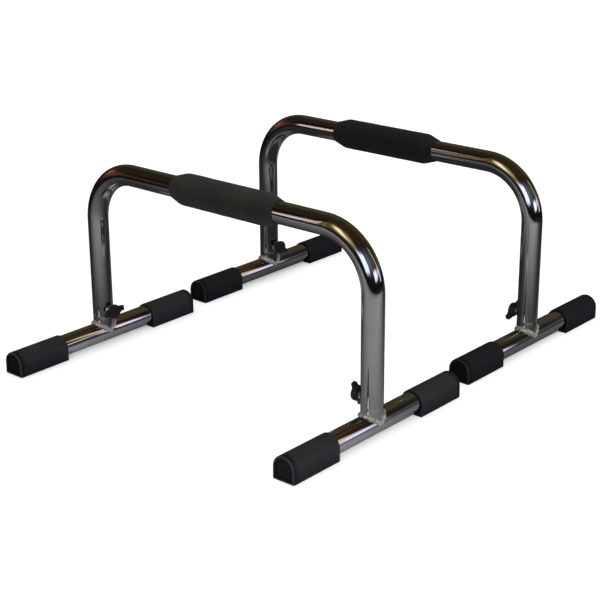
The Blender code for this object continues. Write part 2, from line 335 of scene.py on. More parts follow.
def boolean(target: bpy.types.Object, other: bpy.types.Object, operation: str) -> None:
    """Cut or join another object on a target, with Blender's exact solver.

    Args:
        target: The object that gets the modifier.
        other: The object that is joined to it or cut out of it.
        operation: UNION or DIFFERENCE.
    """
    step = target.modifiers.new(operation.title(), "BOOLEAN")
    step.operation = operation
    step.solver = "EXACT"
    step.object = other


# Node trees


class Nodes:
    """A node tree that is filled node by node."""

    def __init__(self, tree: bpy.types.NodeTree) -> None:
        """Keep the tree that the nodes go in."""
        self.tree = tree

    def feed(self, socket: bpy.types.NodeSocket, value: Feed) -> None:
        """Fill an input.

        Args:
            socket: The input.
            value: A constant for it, or the output socket that it is linked to.
        """
        if isinstance(value, bpy.types.NodeSocket):
            self.tree.links.new(value, socket)
        else:
            socket.default_value = value

    def add(self, kind: str, sockets: dict | None = None, **settings: object) -> bpy.types.Node:
        """Add a node.

        Args:
            kind: The node's type.
            sockets: A constant or an output socket for each input, by name or number.
            settings: The node's own properties.

        Returns:
            The new node.
        """
        node = self.tree.nodes.new(kind)
        for key, value in settings.items():
            setattr(node, key, value)
        for key, value in (sockets or {}).items():
            self.feed(node.inputs[key], value)
        return node

    def out(self, kind: str, sockets: dict | None = None, **settings: object) -> bpy.types.NodeSocket:
        """Add a node as above and return its first output."""
        return self.add(kind, sockets, **settings).outputs[0]

    def math(self, operation: str, *values: Feed) -> bpy.types.NodeSocket:
        """Work out a number from constants or sockets."""
        return self.out("ShaderNodeMath", dict(enumerate(values)), operation=operation)

    def ramp(self, value: Feed, start: Feed, end: Feed, first: Feed, last: Feed,
             soft: bool = True) -> bpy.types.NodeSocket:
        """Carry a number from one range to another and hold it at both ends.

        Args:
            value: The number's socket.
            start: Where the range begins, as a constant or a socket, as are the next three.
            end: Where it ends.
            first: What is put out at the start.
            last: What is put out at the end.
            soft: Whether it eases in and out instead of running straight.

        Returns:
            The result's socket.
        """
        sockets = {"Value": value, "From Min": start, "From Max": end, "To Min": first, "To Max": last}
        return self.out("ShaderNodeMapRange", sockets, interpolation_type="SMOOTHSTEP" if soft else "LINEAR")

    def mixed(self, share: Feed, colour: Feed, other: Feed) -> bpy.types.NodeSocket:
        """Mix a colour with another one by a share."""
        sockets = {"Factor": share, "A": colour, "B": other}
        return self.add("ShaderNodeMix", sockets, data_type="RGBA").outputs["Result"]

    def place(self) -> bpy.types.NodeSocket:
        """Return the place on the piece, which stands in the model's frame."""
        return self.add("ShaderNodeTexCoord").outputs["Object"]


class GeometryTree(Nodes):
    """A geometry node tree with named inputs, which ends in real geometry with its material."""

    def __init__(self, name: str, inputs: dict[str, str]) -> None:
        """Start a tree.

        Args:
            name: The tree's name.
            inputs: The name and socket type of each input between the geometry and the material.
        """
        super().__init__(bpy.data.node_groups.new(name, "GeometryNodeTree"))
        face = self.tree.interface
        every = {"Geometry": "NodeSocketGeometry", **inputs, "Material": "NodeSocketMaterial"}
        for label, kind in every.items():
            face.new_socket(label, in_out="INPUT", socket_type=kind)
        face.new_socket("Geometry", in_out="OUTPUT", socket_type="NodeSocketGeometry")
        self.given = self.tree.nodes.new("NodeGroupInput").outputs

    def finish(self, geometry: bpy.types.NodeSocket) -> bpy.types.NodeTree:
        """End the tree in real geometry with the material that was given.

        Args:
            geometry: What the tree has made.

        Returns:
            The finished tree.
        """
        real = self.out("GeometryNodeRealizeInstances", {0: geometry})
        dressed = self.out("GeometryNodeSetMaterial", {"Geometry": real, "Material": self.given["Material"]})
        self.tree.links.new(dressed, self.tree.nodes.new("NodeGroupOutput").inputs[0])
        return self.tree


class ShaderGroup(Nodes):
    """A shader node group that puts out one number."""

    def __init__(self, name: str, inputs: dict[str, float], output: str) -> None:
        """Start a group.

        Args:
            name: The group's name.
            inputs: The name of each input with its value where none is given.
            output: The name of what it puts out.
        """
        super().__init__(bpy.data.node_groups.new(name, "ShaderNodeTree"))
        face = self.tree.interface
        for label, value in inputs.items():
            face.new_socket(label, in_out="INPUT", socket_type=NUMBER).default_value = value
        face.new_socket(output, in_out="OUTPUT", socket_type=NUMBER)
        self.given = self.tree.nodes.new("NodeGroupInput").outputs

    def finish(self, number: bpy.types.NodeSocket) -> bpy.types.NodeTree:
        """Put out the group's number and return the group."""
        self.tree.links.new(number, self.tree.nodes.new("NodeGroupOutput").inputs[0])
        return self.tree


def run_tree(source: bpy.types.Object, tree: bpy.types.NodeTree, values: dict) -> None:
    """Put a geometry node tree on an object, with its inputs set by their identifiers.

    Args:
        source: The object.
        tree: The tree.
        values: A value for each named input.
    """
    step = source.modifiers.new(tree.name, "NODES")
    step.node_group = tree
    for item in tree.interface.items_tree:
        if item.item_type == "SOCKET" and item.in_out == "INPUT" and item.name in values:
            step[item.identifier] = values[item.name]


def swept_tube_tree() -> bpy.types.NodeTree:
    """The skin of a tube along a line whose corners are bent to a radius.

    Returns:
        The tree, for an object that is a row of edges.
    """
    build = GeometryTree("swept_tube", {
        "Bend Radius": NUMBER, "Bend Steps": COUNT, "Ring Spacing": NUMBER, "Tube Radius": NUMBER,
        "Sides": COUNT})
    given = build.given
    line = build.out("GeometryNodeMeshToCurve", {"Mesh": given["Geometry"]})
    bends = {"Curve": line, "Radius": given["Bend Radius"], "Count": given["Bend Steps"]}
    bent = build.out("GeometryNodeFilletCurve", bends, mode="POLY")
    spaced = {"Curve": bent, "Length": given["Ring Spacing"]}
    even = build.out("GeometryNodeResampleCurve", spaced, mode="LENGTH")
    round_section = {"Resolution": given["Sides"], "Radius": given["Tube Radius"]}
    section = build.out("GeometryNodeCurvePrimitiveCircle", round_section)
    return build.finish(build.out("GeometryNodeCurveToMesh", {"Curve": even, "Profile Curve": section}))


def weld_tree() -> bpy.types.NodeTree:
    """A rope of weld metal along a closed line, with the ripples that each dab of filler leaves.

    Returns:
        The tree, for an object that is a ring of edges about Z.
    """
    grain_scale, sides = 420.0, 16
    build = GeometryTree("weld_bead", {
        "Rings": COUNT, "Ripples": NUMBER, "Ripple Depth": NUMBER, "Side Radius": NUMBER,
        "Front Radius": NUMBER, "Unevenness": NUMBER, "Seed": NUMBER})
    given = build.given
    line = build.out("GeometryNodeMeshToCurve", {"Mesh": given["Geometry"]})
    even = build.out("GeometryNodeResampleCurve", {"Curve": line, "Count": given["Rings"]}, mode="COUNT")
    place = build.out("GeometryNodeInputPosition")
    across, along, _ = build.add("ShaderNodeSeparateXYZ", {0: place}).outputs
    squares = [build.math("MULTIPLY", part, part) for part in (across, along)]
    reach = build.math("SQRT", build.math("ADD", *squares))
    front = build.math("DIVIDE", build.math("ABSOLUTE", along), reach)
    width = build.ramp(front, 0.0, 1.0, given["Side Radius"], given["Front Radius"], soft=False)
    dabs = build.math("MULTIPLY", build.out("GeometryNodeInputIndex"), given["Ripples"])
    beat = build.math("FRACT", build.math("DIVIDE", dabs, given["Rings"]))
    arch = build.math("SQRT", build.math("SINE", build.math("MULTIPLY", beat, math.pi)))
    dip = build.math("MULTIPLY", build.math("SUBTRACT", 1.0, arch), given["Ripple Depth"])
    grain = {"Vector": place, "W": given["Seed"], "Scale": grain_scale, "Detail": 1.0}
    drift = build.math("SUBTRACT", build.out("ShaderNodeTexNoise", grain, noise_dimensions="4D"), 0.5)
    sway = build.math("MULTIPLY", drift, given["Unevenness"])
    swell = build.math("ADD", build.math("SUBTRACT", 1.0, dip), sway)
    section = build.out("GeometryNodeCurvePrimitiveCircle", {"Resolution": sides, "Radius": 1.0})
    skin = {"Curve": even, "Profile Curve": section, "Scale": build.math("MULTIPLY", width, swell)}
    return build.finish(build.out("GeometryNodeCurveToMesh", skin))


def thread_tree() -> bpy.types.NodeTree:
    """A right-handed screw thread pressed into a turned shank that stands along Z.

    Returns:
        The tree, for an object that is the plain shank.
    """
    build = GeometryTree("screw_thread", {"Pitch": NUMBER, "Depth": NUMBER, "Start": NUMBER, "End": NUMBER})
    given = build.given
    x, y, z = build.add("ShaderNodeSeparateXYZ", {0: build.out("GeometryNodeInputPosition")}).outputs
    turn = build.math("DIVIDE", build.math("ARCTAN2", y, x), FULL_TURN)
    beat = build.math("FRACT", build.math("SUBTRACT", build.math("DIVIDE", z, given["Pitch"]), turn))
    flank = build.math("ABSOLUTE", build.math("SUBTRACT", build.math("MULTIPLY", beat, 2.0), 1.0))
    above = build.math("GREATER_THAN", z, given["Start"])
    below = build.math("LESS_THAN", z, given["End"])
    depth = build.math("MULTIPLY", build.math("MULTIPLY", flank, given["Depth"]),
                       build.math("MULTIPLY", above, below))
    level = build.out("ShaderNodeCombineXYZ", {0: x, 1: y})
    outward = build.out("ShaderNodeVectorMath", {0: level}, operation="NORMALIZE")
    inward = build.out("ShaderNodeVectorMath", {0: outward, "Scale": build.math("MULTIPLY", depth, -1.0)},
                       operation="SCALE")
    cut = {"Geometry": given["Geometry"], "Offset": inward}
    return build.finish(build.out("GeometryNodeSetPosition", cut))


def rib_tree() -> bpy.types.NodeTree:
    """A row of the same small rib.

    Returns:
        The tree, for an object that is one rib.
    """
    build = GeometryTree("rib_row", {"Count": COUNT, "Spacing": NUMBER})
    given = build.given
    step = build.out("ShaderNodeCombineXYZ", {0: given["Spacing"]})
    row = build.out("GeometryNodeMeshLine", {"Count": given["Count"], "Offset": step})
    ribs = {"Points": row, "Instance": given["Geometry"]}
    return build.finish(build.out("GeometryNodeInstanceOnPoints", ribs))


@cache
def smudge_group() -> bpy.types.NodeTree:
    """Soft cloudy marks, as from handling: a number that drifts between a low and a high value.

    Returns:
        The group, made once.
    """
    build = ShaderGroup("smudges", {"Scale": 30.0, "Low": 0.0, "High": 1.0, "Contrast": 0.2}, "Value")
    given = build.given
    clouds = {"Vector": build.place(), "Scale": given["Scale"], "Detail": 5.0, "Roughness": 0.62}
    start, end = (build.math(way, 0.5, given["Contrast"]) for way in ("SUBTRACT", "ADD"))
    cloud = build.out("ShaderNodeTexNoise", clouds)
    return build.finish(build.ramp(cloud, start, end, given["Low"], given["High"]))


@cache
def grain_group() -> bpy.types.NodeTree:
    """A fine pebbled surface: a height made of two sizes of grain.

    Returns:
        The group, made once.
    """
    finer = 2.7
    build = ShaderGroup("pebble_grain", {"Scale": 900.0, "Fine Share": 0.4}, "Height")
    place, scale = build.place(), build.given["Scale"]
    cells = build.out("ShaderNodeTexVoronoi", {"Vector": place, "Scale": scale})
    specks = {"Vector": place, "Scale": build.math("MULTIPLY", scale, finer), "Detail": 3.0}
    fine = build.math("MULTIPLY", build.out("ShaderNodeTexNoise", specks), build.given["Fine Share"])
    return build.finish(build.math("ADD", cells, fine))


def glow_group() -> bpy.types.NodeTree:
    """The mask of one soft-edged oblong in a room, from the direction that is looked in.

    Returns:
        The group. Its inputs are in degrees.
    """
    names = ("Azimuth", "Elevation", "Middle Azimuth", "Middle Elevation", "Half Width", "Half Height",
             "Tilt", "Edge")
    build = ShaderGroup("room_glow", dict.fromkeys(names, 0.0), "Mask")
    given = build.given
    turned_by = build.math("SUBTRACT", given["Azimuth"], given["Middle Azimuth"])
    across = build.math("WRAP", turned_by, 180.0, -180.0)
    rise = build.math("SUBTRACT", given["Elevation"], given["Middle Elevation"])
    turn = build.math("RADIANS", given["Tilt"])
    sine, cosine = build.math("SINE", turn), build.math("COSINE", turn)
    along = build.math("ADD", build.math("MULTIPLY", across, cosine), build.math("MULTIPLY", rise, sine))
    off = build.math("SUBTRACT", build.math("MULTIPLY", rise, cosine), build.math("MULTIPLY", across, sine))
    masks = []
    for away, half in ((along, given["Half Width"]), (off, given["Half Height"])):
        start, end = (build.math(way, half, given["Edge"]) for way in ("SUBTRACT", "ADD"))
        masks.append(build.ramp(build.math("ABSOLUTE", away), start, end, 1.0, 0.0))
    return build.finish(build.math("MULTIPLY", *masks))


# Finishes


def opaque(colour: Colour) -> tuple[float, float, float, float]:
    """Return a colour as sockets take it."""
    return (*colour, 1.0)


@dataclass(frozen=True)
class Finish:
    """What every finish has: a name, two colours that drift into each other, and a roughness range."""

    name: str
    slot: Slot
    colour: Colour
    second: Colour
    rough_low: float
    rough_high: float
    cloud_scale: float = 30.0
    colour_cloud: float = 0.6

    @cache
    def material(self) -> bpy.types.Material:
        """Build the finish's material.

        Returns:
            The material, made once.
        """
        made = bpy.data.materials.new(self.name)
        made.use_nodes = True
        made.diffuse_color = opaque(self.colour)
        build = Nodes(made.node_tree)
        shader = build.tree.nodes["Principled BSDF"].inputs
        share = self.clouds(build, self.cloud_scale * self.colour_cloud, 0.0, 1.0)
        build.feed(shader["Base Color"], build.mixed(share, opaque(self.colour), opaque(self.second)))
        build.feed(shader["Roughness"], self.clouds(build, self.cloud_scale, self.rough_low, self.rough_high))
        self.dress(build, shader)
        return made

    def clouds(self, build: Nodes, scale: float, low: float, high: float) -> bpy.types.NodeSocket:
        """Place the smudge group in a material and return its number."""
        sockets = {"Scale": scale, "Low": low, "High": high}
        return build.out("ShaderNodeGroup", sockets, node_tree=smudge_group())

    def bump(self, build: Nodes, shader: bpy.types.NodeInputs, height: bpy.types.NodeSocket,
             strength: float, distance: float) -> None:
        """Feed a height to the shader's normal."""
        sockets = {"Height": height, "Strength": strength, "Distance": distance}
        build.feed(shader["Normal"], build.out("ShaderNodeBump", sockets))

    def dress(self, build: Nodes, shader: bpy.types.NodeInputs) -> None:
        """Add what only this finish has."""


@dataclass(frozen=True)
class Plating(Finish):
    """Bright plated steel: mirror-like, with faint orange peel and handling marks."""

    peel: float = 0.02
    peel_scale: float = 260.0
    peel_depth: float = 0.001
    metal: float = 1.0

    def dress(self, build: Nodes, shader: bpy.types.NodeInputs) -> None:
        """Make it metal, with a very shallow ripple in the plating.

        Args:
            build: The material's nodes.
            shader: The inputs of its shader.
        """
        shader["Metallic"].default_value = self.metal
        waves = {"Vector": build.place(), "Scale": self.peel_scale, "Detail": 2.0}
        self.bump(build, shader, build.out("ShaderNodeTexNoise", waves), self.peel, self.peel_depth)


@dataclass(frozen=True)
class Pebbled(Finish):
    """Rubber, foam or moulded plastic with a fine grain."""

    grain_scale: float = 2600.0
    fine_share: float = 0.5
    strength: float = 0.12
    depth: float = 0.0001
    specular: float = 0.5
    sheen: float = 0.0
    sheen_roughness: float = 0.6

    def dress(self, build: Nodes, shader: bpy.types.NodeInputs) -> None:
        """Add the grain, and the sheen that loose cells give.

        Args:
            build: The material's nodes.
            shader: The inputs of its shader.
        """
        shader["Specular IOR Level"].default_value = self.specular
        shader["Sheen Weight"].default_value = self.sheen
        shader["Sheen Roughness"].default_value = self.sheen_roughness
        sizes = {"Scale": self.grain_scale, "Fine Share": self.fine_share}
        grain = build.out("ShaderNodeGroup", sizes, node_tree=grain_group())
        self.bump(build, shader, grain, self.strength, self.depth)


@dataclass(frozen=True)
class Foam(Pebbled):
    """Black foam with a skin of open cells."""

    grain_scale: float = 1500.0
    strength: float = 0.55
    depth: float = 0.0003


@dataclass(frozen=True)
class MouldedCap(Pebbled):
    """Cap rubber with painted light and shade: paler over the arch and darker towards the floor, a painted
    highlight along its closed end's rim and painted shade in its recess.
    """

    grain_scale: float = 2200.0
    fine_share: float = 0.6
    strength: float = 0.20
    # Painted light over the arch, a painted highlight on the rim, painted shade in the recess.
    arch_painted_light: Colour = (0.0180, 0.0190, 0.0188)
    rim_painted_highlight: Colour = (0.026, 0.030, 0.036)
    recessed: Colour = (0.0016, 0.0017, 0.0020)

    def dress(self, build: Nodes, shader: bpy.types.NodeInputs) -> None:
        """Add the grain, and the painted light and shade where the cap's own attributes ask for them.

        Args:
            build: The material's nodes.
            shader: The inputs of its shader.
        """
        super().dress(build, shader)
        colour = shader["Base Color"].links[0].from_socket
        # Painted light and shade: lighter over the arch and darker towards the floor, a painted highlight on
        # the end's rim, painted shade in the recess.
        for label, shade in ((CROWN, self.arch_painted_light), (RIM, self.rim_painted_highlight), (RECESS, self.recessed)):
            mask = build.add("ShaderNodeAttribute", attribute_name=label).outputs["Fac"]
            colour = build.mixed(mask, colour, opaque(shade))
        build.feed(shader["Base Color"], colour)


@dataclass(frozen=True)
class Finishes:
    """Every finish on the bars. No name is a material slot's, as the model brings plain ones of those."""

    chrome: Finish = Plating(
        "bright_chrome", Slot.CHROME, (0.60, 0.61, 0.63), (0.55, 0.56, 0.58), 0.035, 0.09, 22.0)
    weld: Finish = Plating(
        "plated_weld", Slot.WELD, (0.60, 0.60, 0.56), (0.40, 0.39, 0.37), 0.18, 0.34, 240.0,
        peel=0.25, peel_scale=900.0, metal=0.7)
    zinc: Finish = Plating(
        "zinc_plate", Slot.ZINC, (0.66, 0.66, 0.63), (0.56, 0.56, 0.54), 0.20, 0.34, 300.0,
        peel=0.10, peel_scale=1400.0)
    # The near bar's foam is painted lighter and the far bar's darker: one foam in a lit and a shaded copy, as
    # painted light and shade.
    near_lit_foam: Finish = Foam(
        "near_lit_foam", Slot.FOAM, (0.0240, 0.0255, 0.0210), (0.0185, 0.0195, 0.0165), 0.86, 0.97, 45.0,
        specular=0.20, sheen=0.04)
    far_shaded_foam: Finish = Foam(
        "far_shaded_foam", Slot.FOAM, (0.0085, 0.0085, 0.0068), (0.0070, 0.0070, 0.0056), 0.86, 0.97, 45.0,
        specular=0.15, sheen=0.03)
    # The near bar's cap rubber is painted lighter and the far bar's darker: one rubber in a lit and a shaded
    # copy, as painted light and shade.
    near_lit_rubber: Finish = MouldedCap(
        "near_lit_rubber", Slot.CAP, (0.0046, 0.0066, 0.0102), (0.0064, 0.0084, 0.0120), 0.44, 0.60, 70.0,
        specular=0.35)
    far_shaded_rubber: Finish = MouldedCap(
        "far_shaded_rubber", Slot.CAP, (0.0030, 0.0042, 0.0062), (0.0042, 0.0054, 0.0076), 0.44, 0.60, 70.0,
        specular=0.24, arch_painted_light=(0.0080, 0.0088, 0.0092), rim_painted_highlight=(0.014, 0.017, 0.021))
    plastic: Finish = Pebbled(
        "black_nylon", Slot.KNOB, (0.0060, 0.0062, 0.0068), (0.0080, 0.0082, 0.0088), 0.30, 0.42, 160.0)


FINISHES = Finishes()


def add_piece(name: str, mesh: bpy.types.Mesh, finish: Finish, body: str, node: str) -> bpy.types.Object:
    """Put a finished piece in the scene, in place of a node of the model.

    Args:
        name: The piece's name.
        mesh: Its mesh, in the model's frame.
        finish: What it is made of.
        body: The body it moves with.
        node: The node it stands for.

    Returns:
        The piece's object.
    """
    mesh.materials.clear()
    mesh.materials.append(finish.material())
    made = linked(name, mesh)
    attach(made, body)
    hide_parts(node)
    low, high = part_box(node)
    points = [v.co for v in mesh.vertices]
    reach = [max(low[i] - min(p[i] for p in points), max(p[i] for p in points) - high[i]) for i in range(3)]
    LOG.info("%s for %s: %d faces, %.2f mm outside it", name, node, len(mesh.polygons), 1000.0 * max(reach))
    return made


# The bar's pieces


@dataclass(frozen=True)
class TubeStock:
    """The steel tube of handles, feet and uprights, and the heights that follow from it and the cap wall."""

    radius: float = 0.0110
    wall: float = 0.0015
    sides: int = 80
    cap_wall: float = 0.0016
    seam_above_crown: float = 0.0080
    clamp_above_crown: float = 0.0150
    slide_gap: float = 0.00025

    @property
    def bore(self) -> float:
        """The tube's inside radius."""
        return self.radius - self.wall

    @property
    def spigot(self) -> float:
        """The radius of the swaged neck that slides in the bore."""
        return self.bore - self.slide_gap

    @property
    def foot_axis(self) -> float:
        """How high the middle of a foot tube lies."""
        return self.radius + self.cap_wall

    @property
    def crown(self) -> float:
        """The top of a foot tube."""
        return self.foot_axis + self.radius

    @property
    def seam(self) -> float:
        """Where an upright's shoulder meets its leg."""
        return self.crown + self.seam_above_crown

    @property
    def clamp(self) -> float:
        """The height of a clamp's axis."""
        return self.crown + self.clamp_above_crown


TUBE = TubeStock()


@dataclass(frozen=True)
class Handle:
    """The bent tube with its two screw holes."""

    leg_spacing: float = 0.3700
    height: float = 0.1960
    bend_radius: float = 0.0570
    bend_steps: int = 48
    seat_gap: float = 0.0001
    hole_radius: float = 0.0033
    hole_sides: int = 40
    drill_spare: float = 0.0060
    ring_spacing: float = 0.0030

    def tube(self) -> bpy.types.Mesh:
        """Sweep the tube along its bent line, give it its wall and drill the two screw holes.

        Returns:
            The tube's mesh, with the bar's middle at the origin.
        """
        half, foot = self.leg_spacing / 2.0, TUBE.seam + self.seat_gap
        line = bpy.data.meshes.new("handle_line")
        corners = [(-half, 0.0, foot), (-half, 0.0, self.height), (half, 0.0, self.height), (half, 0.0, foot)]
        line.from_pydata(corners, [(0, 1), (1, 2), (2, 3)], [])
        skin = linked("handle_line", line)
        run_tree(skin, swept_tube_tree(), {
            "Bend Radius": self.bend_radius, "Bend Steps": self.bend_steps, "Ring Spacing": self.ring_spacing,
            "Tube Radius": TUBE.radius, "Sides": TUBE.sides, "Material": FINISHES.chrome.material()})
        wall = linked("handle_wall", outward_mesh(as_mesh(skin, "handle_skin")))
        solid = wall.modifiers.new("Wall", "SOLIDIFY")
        solid.thickness = TUBE.wall
        solid.offset = -1.0
        drill = linked("drill", self.drill_mesh())
        boolean(wall, drill, "DIFFERENCE")
        mesh = as_mesh(wall, "handle_tube")
        bpy.data.objects.remove(drill, do_unlink=True)
        return smooth(mesh)

    def drill_mesh(self) -> bpy.types.Mesh:
        """Build the two cylinders that cut the screw holes in the legs' inner sides.

        Returns:
            The cylinders as one mesh.
        """
        shape = bmesh.new()
        lay = Matrix.Rotation(QUARTER_TURN, 4, "Y")
        out = self.leg_spacing / 2.0 - TUBE.radius
        for side in Side:
            place = Matrix.Translation((-side.inward * out, 0.0, TUBE.clamp))
            bmesh.ops.create_cone(
                shape, cap_ends=True, segments=self.hole_sides, radius1=self.hole_radius,
                radius2=self.hole_radius, depth=2.0 * TUBE.wall + self.drill_spare, matrix=place @ lay)
        return to_mesh(shape, "drill")


def outward_mesh(mesh: bpy.types.Mesh) -> bpy.types.Mesh:
    """Turn the faces of an open tube skin outwards, away from its centre line.

    Args:
        mesh: A skin whose faces all agree with each other.

    Returns:
        The same mesh.
    """
    top = max(mesh.polygons, key=lambda face: face.center.z)
    if top.normal.z < 0.0:
        mesh.flip_normals()
    return mesh


@dataclass(frozen=True)
class Grip:
    """The foam sleeve on the level run, with ends that taper to a thin lip."""

    length: float = 0.1350
    radius: float = 0.0164
    taper: float = 0.0135
    end_wall: float = 0.0008
    shoulder: float = 0.0120
    lip: float = 0.0005
    gap: float = 0.0003
    ring_spacing: float = 0.0025
    arc_steps: int = 10
    sides: int = 128
    swell: float = 0.00022
    swell_sink: float = 0.3
    swell_scale: float = 60.0

    def profile(self) -> list[Point]:
        """Draw the sleeve's section.

        Returns:
            Points of (radius, height) from one bore edge round the outside to the other.
        """
        half = self.length / 2.0
        bore = TUBE.radius + self.gap
        corners = [
            (bore, half, 0.0),
            (bore + self.end_wall, half, self.lip),
            (self.radius, half - self.taper, self.shoulder),
            (self.radius, 0.0, 0.0),
        ]
        upper = divided(fillet(corners, self.arc_steps, False), self.ring_spacing)
        return upper + [(r, -z) for r, z in reversed(upper[:-1])]

    def mesh(self, seed: float) -> bpy.types.Mesh:
        """Turn the sleeve and let its outside swell and sag a little, as soft foam does.

        Args:
            seed: Shifts the unevenness, so that the two sleeves differ.

        Returns:
            The sleeve's mesh along Z, with its middle at the origin.
        """
        made = turned("foam_sleeve", self.profile(), self.sides, looped=True)
        for vertex in made.vertices:
            out = Vector((vertex.co.x, vertex.co.y, 0.0))
            if out.length < TUBE.radius + 2.0 * self.end_wall:
                continue
            where = vertex.co * self.swell_scale + Vector((0.0, 0.0, seed))
            vertex.co += out.normalized() * self.swell * (noise.noise(where) - self.swell_sink)
        return smooth(made, 60.0)


@dataclass(frozen=True)
class Cap:
    """A moulded end cap: an arch on upright sides and a flat floor, with a recessed end panel."""

    length: float = 0.0640
    end_wall: float = 0.0040
    corner: float = 0.0012
    least_corner: float = 0.0004
    edge: float = 0.0018
    mouth: float = 0.0007
    rim: float = 0.0020
    depth: float = 0.0018
    lip: float = 0.0004
    bore_lead: float = 0.0006
    gap: float = 0.0003
    dimple_radius: float = 0.0021
    dimple_depth: float = 0.0007
    dimple_slope: float = 0.0002
    crown_share: float = 0.8
    rim_share: float = 0.6
    recess_from: float = 0.0008
    recess_past: float = 0.0005

    def outline(self, inset: float, height: float) -> Ring:
        """Draw the tunnel outline at a height along the cap.

        Args:
            inset: How far it is set in, evenly, from the cap's own outline.
            height: The height.

        Returns:
            The outline's points, from the arch's right end over its top, down and back along the floor.
        """
        arch_steps, side_steps, floor_steps, corner_steps = 40, 6, 12, 5
        radius = TUBE.radius + TUBE.cap_wall - inset
        floor = TUBE.foot_axis - inset
        corner = max(self.corner - inset, self.least_corner)
        drop, flat = floor - corner, radius - corner
        arch = [math.pi * i / arch_steps for i in range(arch_steps + 1)]
        points = [(radius * math.cos(a), radius * math.sin(a)) for a in arch]
        points += [(-radius, -drop * i / side_steps) for i in range(1, side_steps)]
        left = [(-radius, 0.0, 0.0), (-radius, -floor, corner), (0.0, -floor, 0.0)]
        right = [(0.0, -floor, 0.0), (radius, -floor, corner), (radius, 0.0, 0.0)]
        points += fillet(left, corner_steps, False)[1:-1]
        points += [(-flat + 2.0 * flat * i / floor_steps, -floor) for i in range(1, floor_steps)]
        points += fillet(right, corner_steps, False)[1:-1]
        points += [(radius, -drop * i / side_steps) for i in range(side_steps - 1, 0, -1)]
        return [Vector((x, y, height)) for x, y in points]

    def round_ring(self, radius: float, height: float) -> Ring:
        """Draw a circle whose points lie at the same angles as the outline's.

        Args:
            radius: The circle's radius.
            height: Its height.

        Returns:
            The circle's points.
        """
        ring = []
        for point in self.outline(0.0, height):
            flat = Vector((point.x, point.y)).normalized() * radius
            ring.append(Vector((flat.x, flat.y, height)))
        return ring

    def mesh(self) -> bpy.types.Mesh:
        """Skin the cap from its bore's floor, out round the mouth, along the outside and in to the panel.

        Returns:
            The cap along Z, closed end up, with its middle at the origin and its arch towards +Y.
        """
        arc_steps, rows = 5, 8
        half = self.length / 2.0
        bore, bore_floor = TUBE.radius + self.gap, half - self.end_wall
        panel = half - self.depth
        soft, edge, lip, dimple = self.mouth, self.edge, self.lip, self.dimple_radius
        arc = [QUARTER_TURN * i / arc_steps for i in range(arc_steps + 1)]
        rings = [self.round_ring(r, bore_floor) for r in (0.0, bore * 0.5, bore - lip)]
        rings += [self.round_ring(bore, z) for z in (bore_floor - lip, 0.0, -half + self.bore_lead)]
        rings += [self.round_ring(bore + lip, -half)]
        rings += [self.outline(soft * (1.0 - math.sin(a)), -half + soft * (1.0 - math.cos(a))) for a in arc]
        rings += [self.outline(0.0, -half + self.length * i / rows) for i in range(1, rows)]
        rings += [self.outline(edge * (1.0 - math.cos(a)), half - edge * (1.0 - math.sin(a))) for a in arc]
        inner = self.rim - lip
        rings += [self.outline(inner + lip * math.sin(a), half - lip * (1.0 - math.cos(a))) for a in arc]
        rings += [self.outline(self.rim, panel + lip), self.outline(self.rim + lip, panel)]
        rings += [self.round_ring(dimple * k, panel) for k in (1.6, 1.15)]
        rings += [self.round_ring(dimple, panel - self.dimple_slope)]
        rings += [self.round_ring(dimple * k, panel - self.dimple_depth) for k in (0.85, 0.4, 0.0)]
        return self.masked(smooth(loft("end_cap", rings), 40.0))

    def masked(self, mesh: bpy.types.Mesh) -> bpy.types.Mesh:
        """Mark the arch, the closed end's rim and its recess with an attribute each, for the cap rubber's
        painted light and shade.

        Args:
            mesh: The cap's mesh, closed end up.

        Returns:
            The same mesh.
        """
        half = self.length / 2.0
        low, high = -TUBE.foot_axis * self.crown_share, (TUBE.radius + TUBE.cap_wall) * self.crown_share
        recess_low = half - self.end_wall + self.recess_from
        recess_high = half - self.depth + self.recess_past
        masks: dict[str, Callable[[Vector], float]] = {
            RIM: lambda p: float(p.z > half - self.edge * self.rim_share),
            RECESS: lambda p: float(recess_low < p.z < recess_high),
            CROWN: lambda p: min(max((p.y - low) / (high - low), 0.0), 1.0),
        }
        for label, share in masks.items():
            mask = mesh.attributes.new(label, "FLOAT", "POINT")
            mask.data.foreach_set("value", [share(v.co) for v in mesh.vertices])
        return mesh


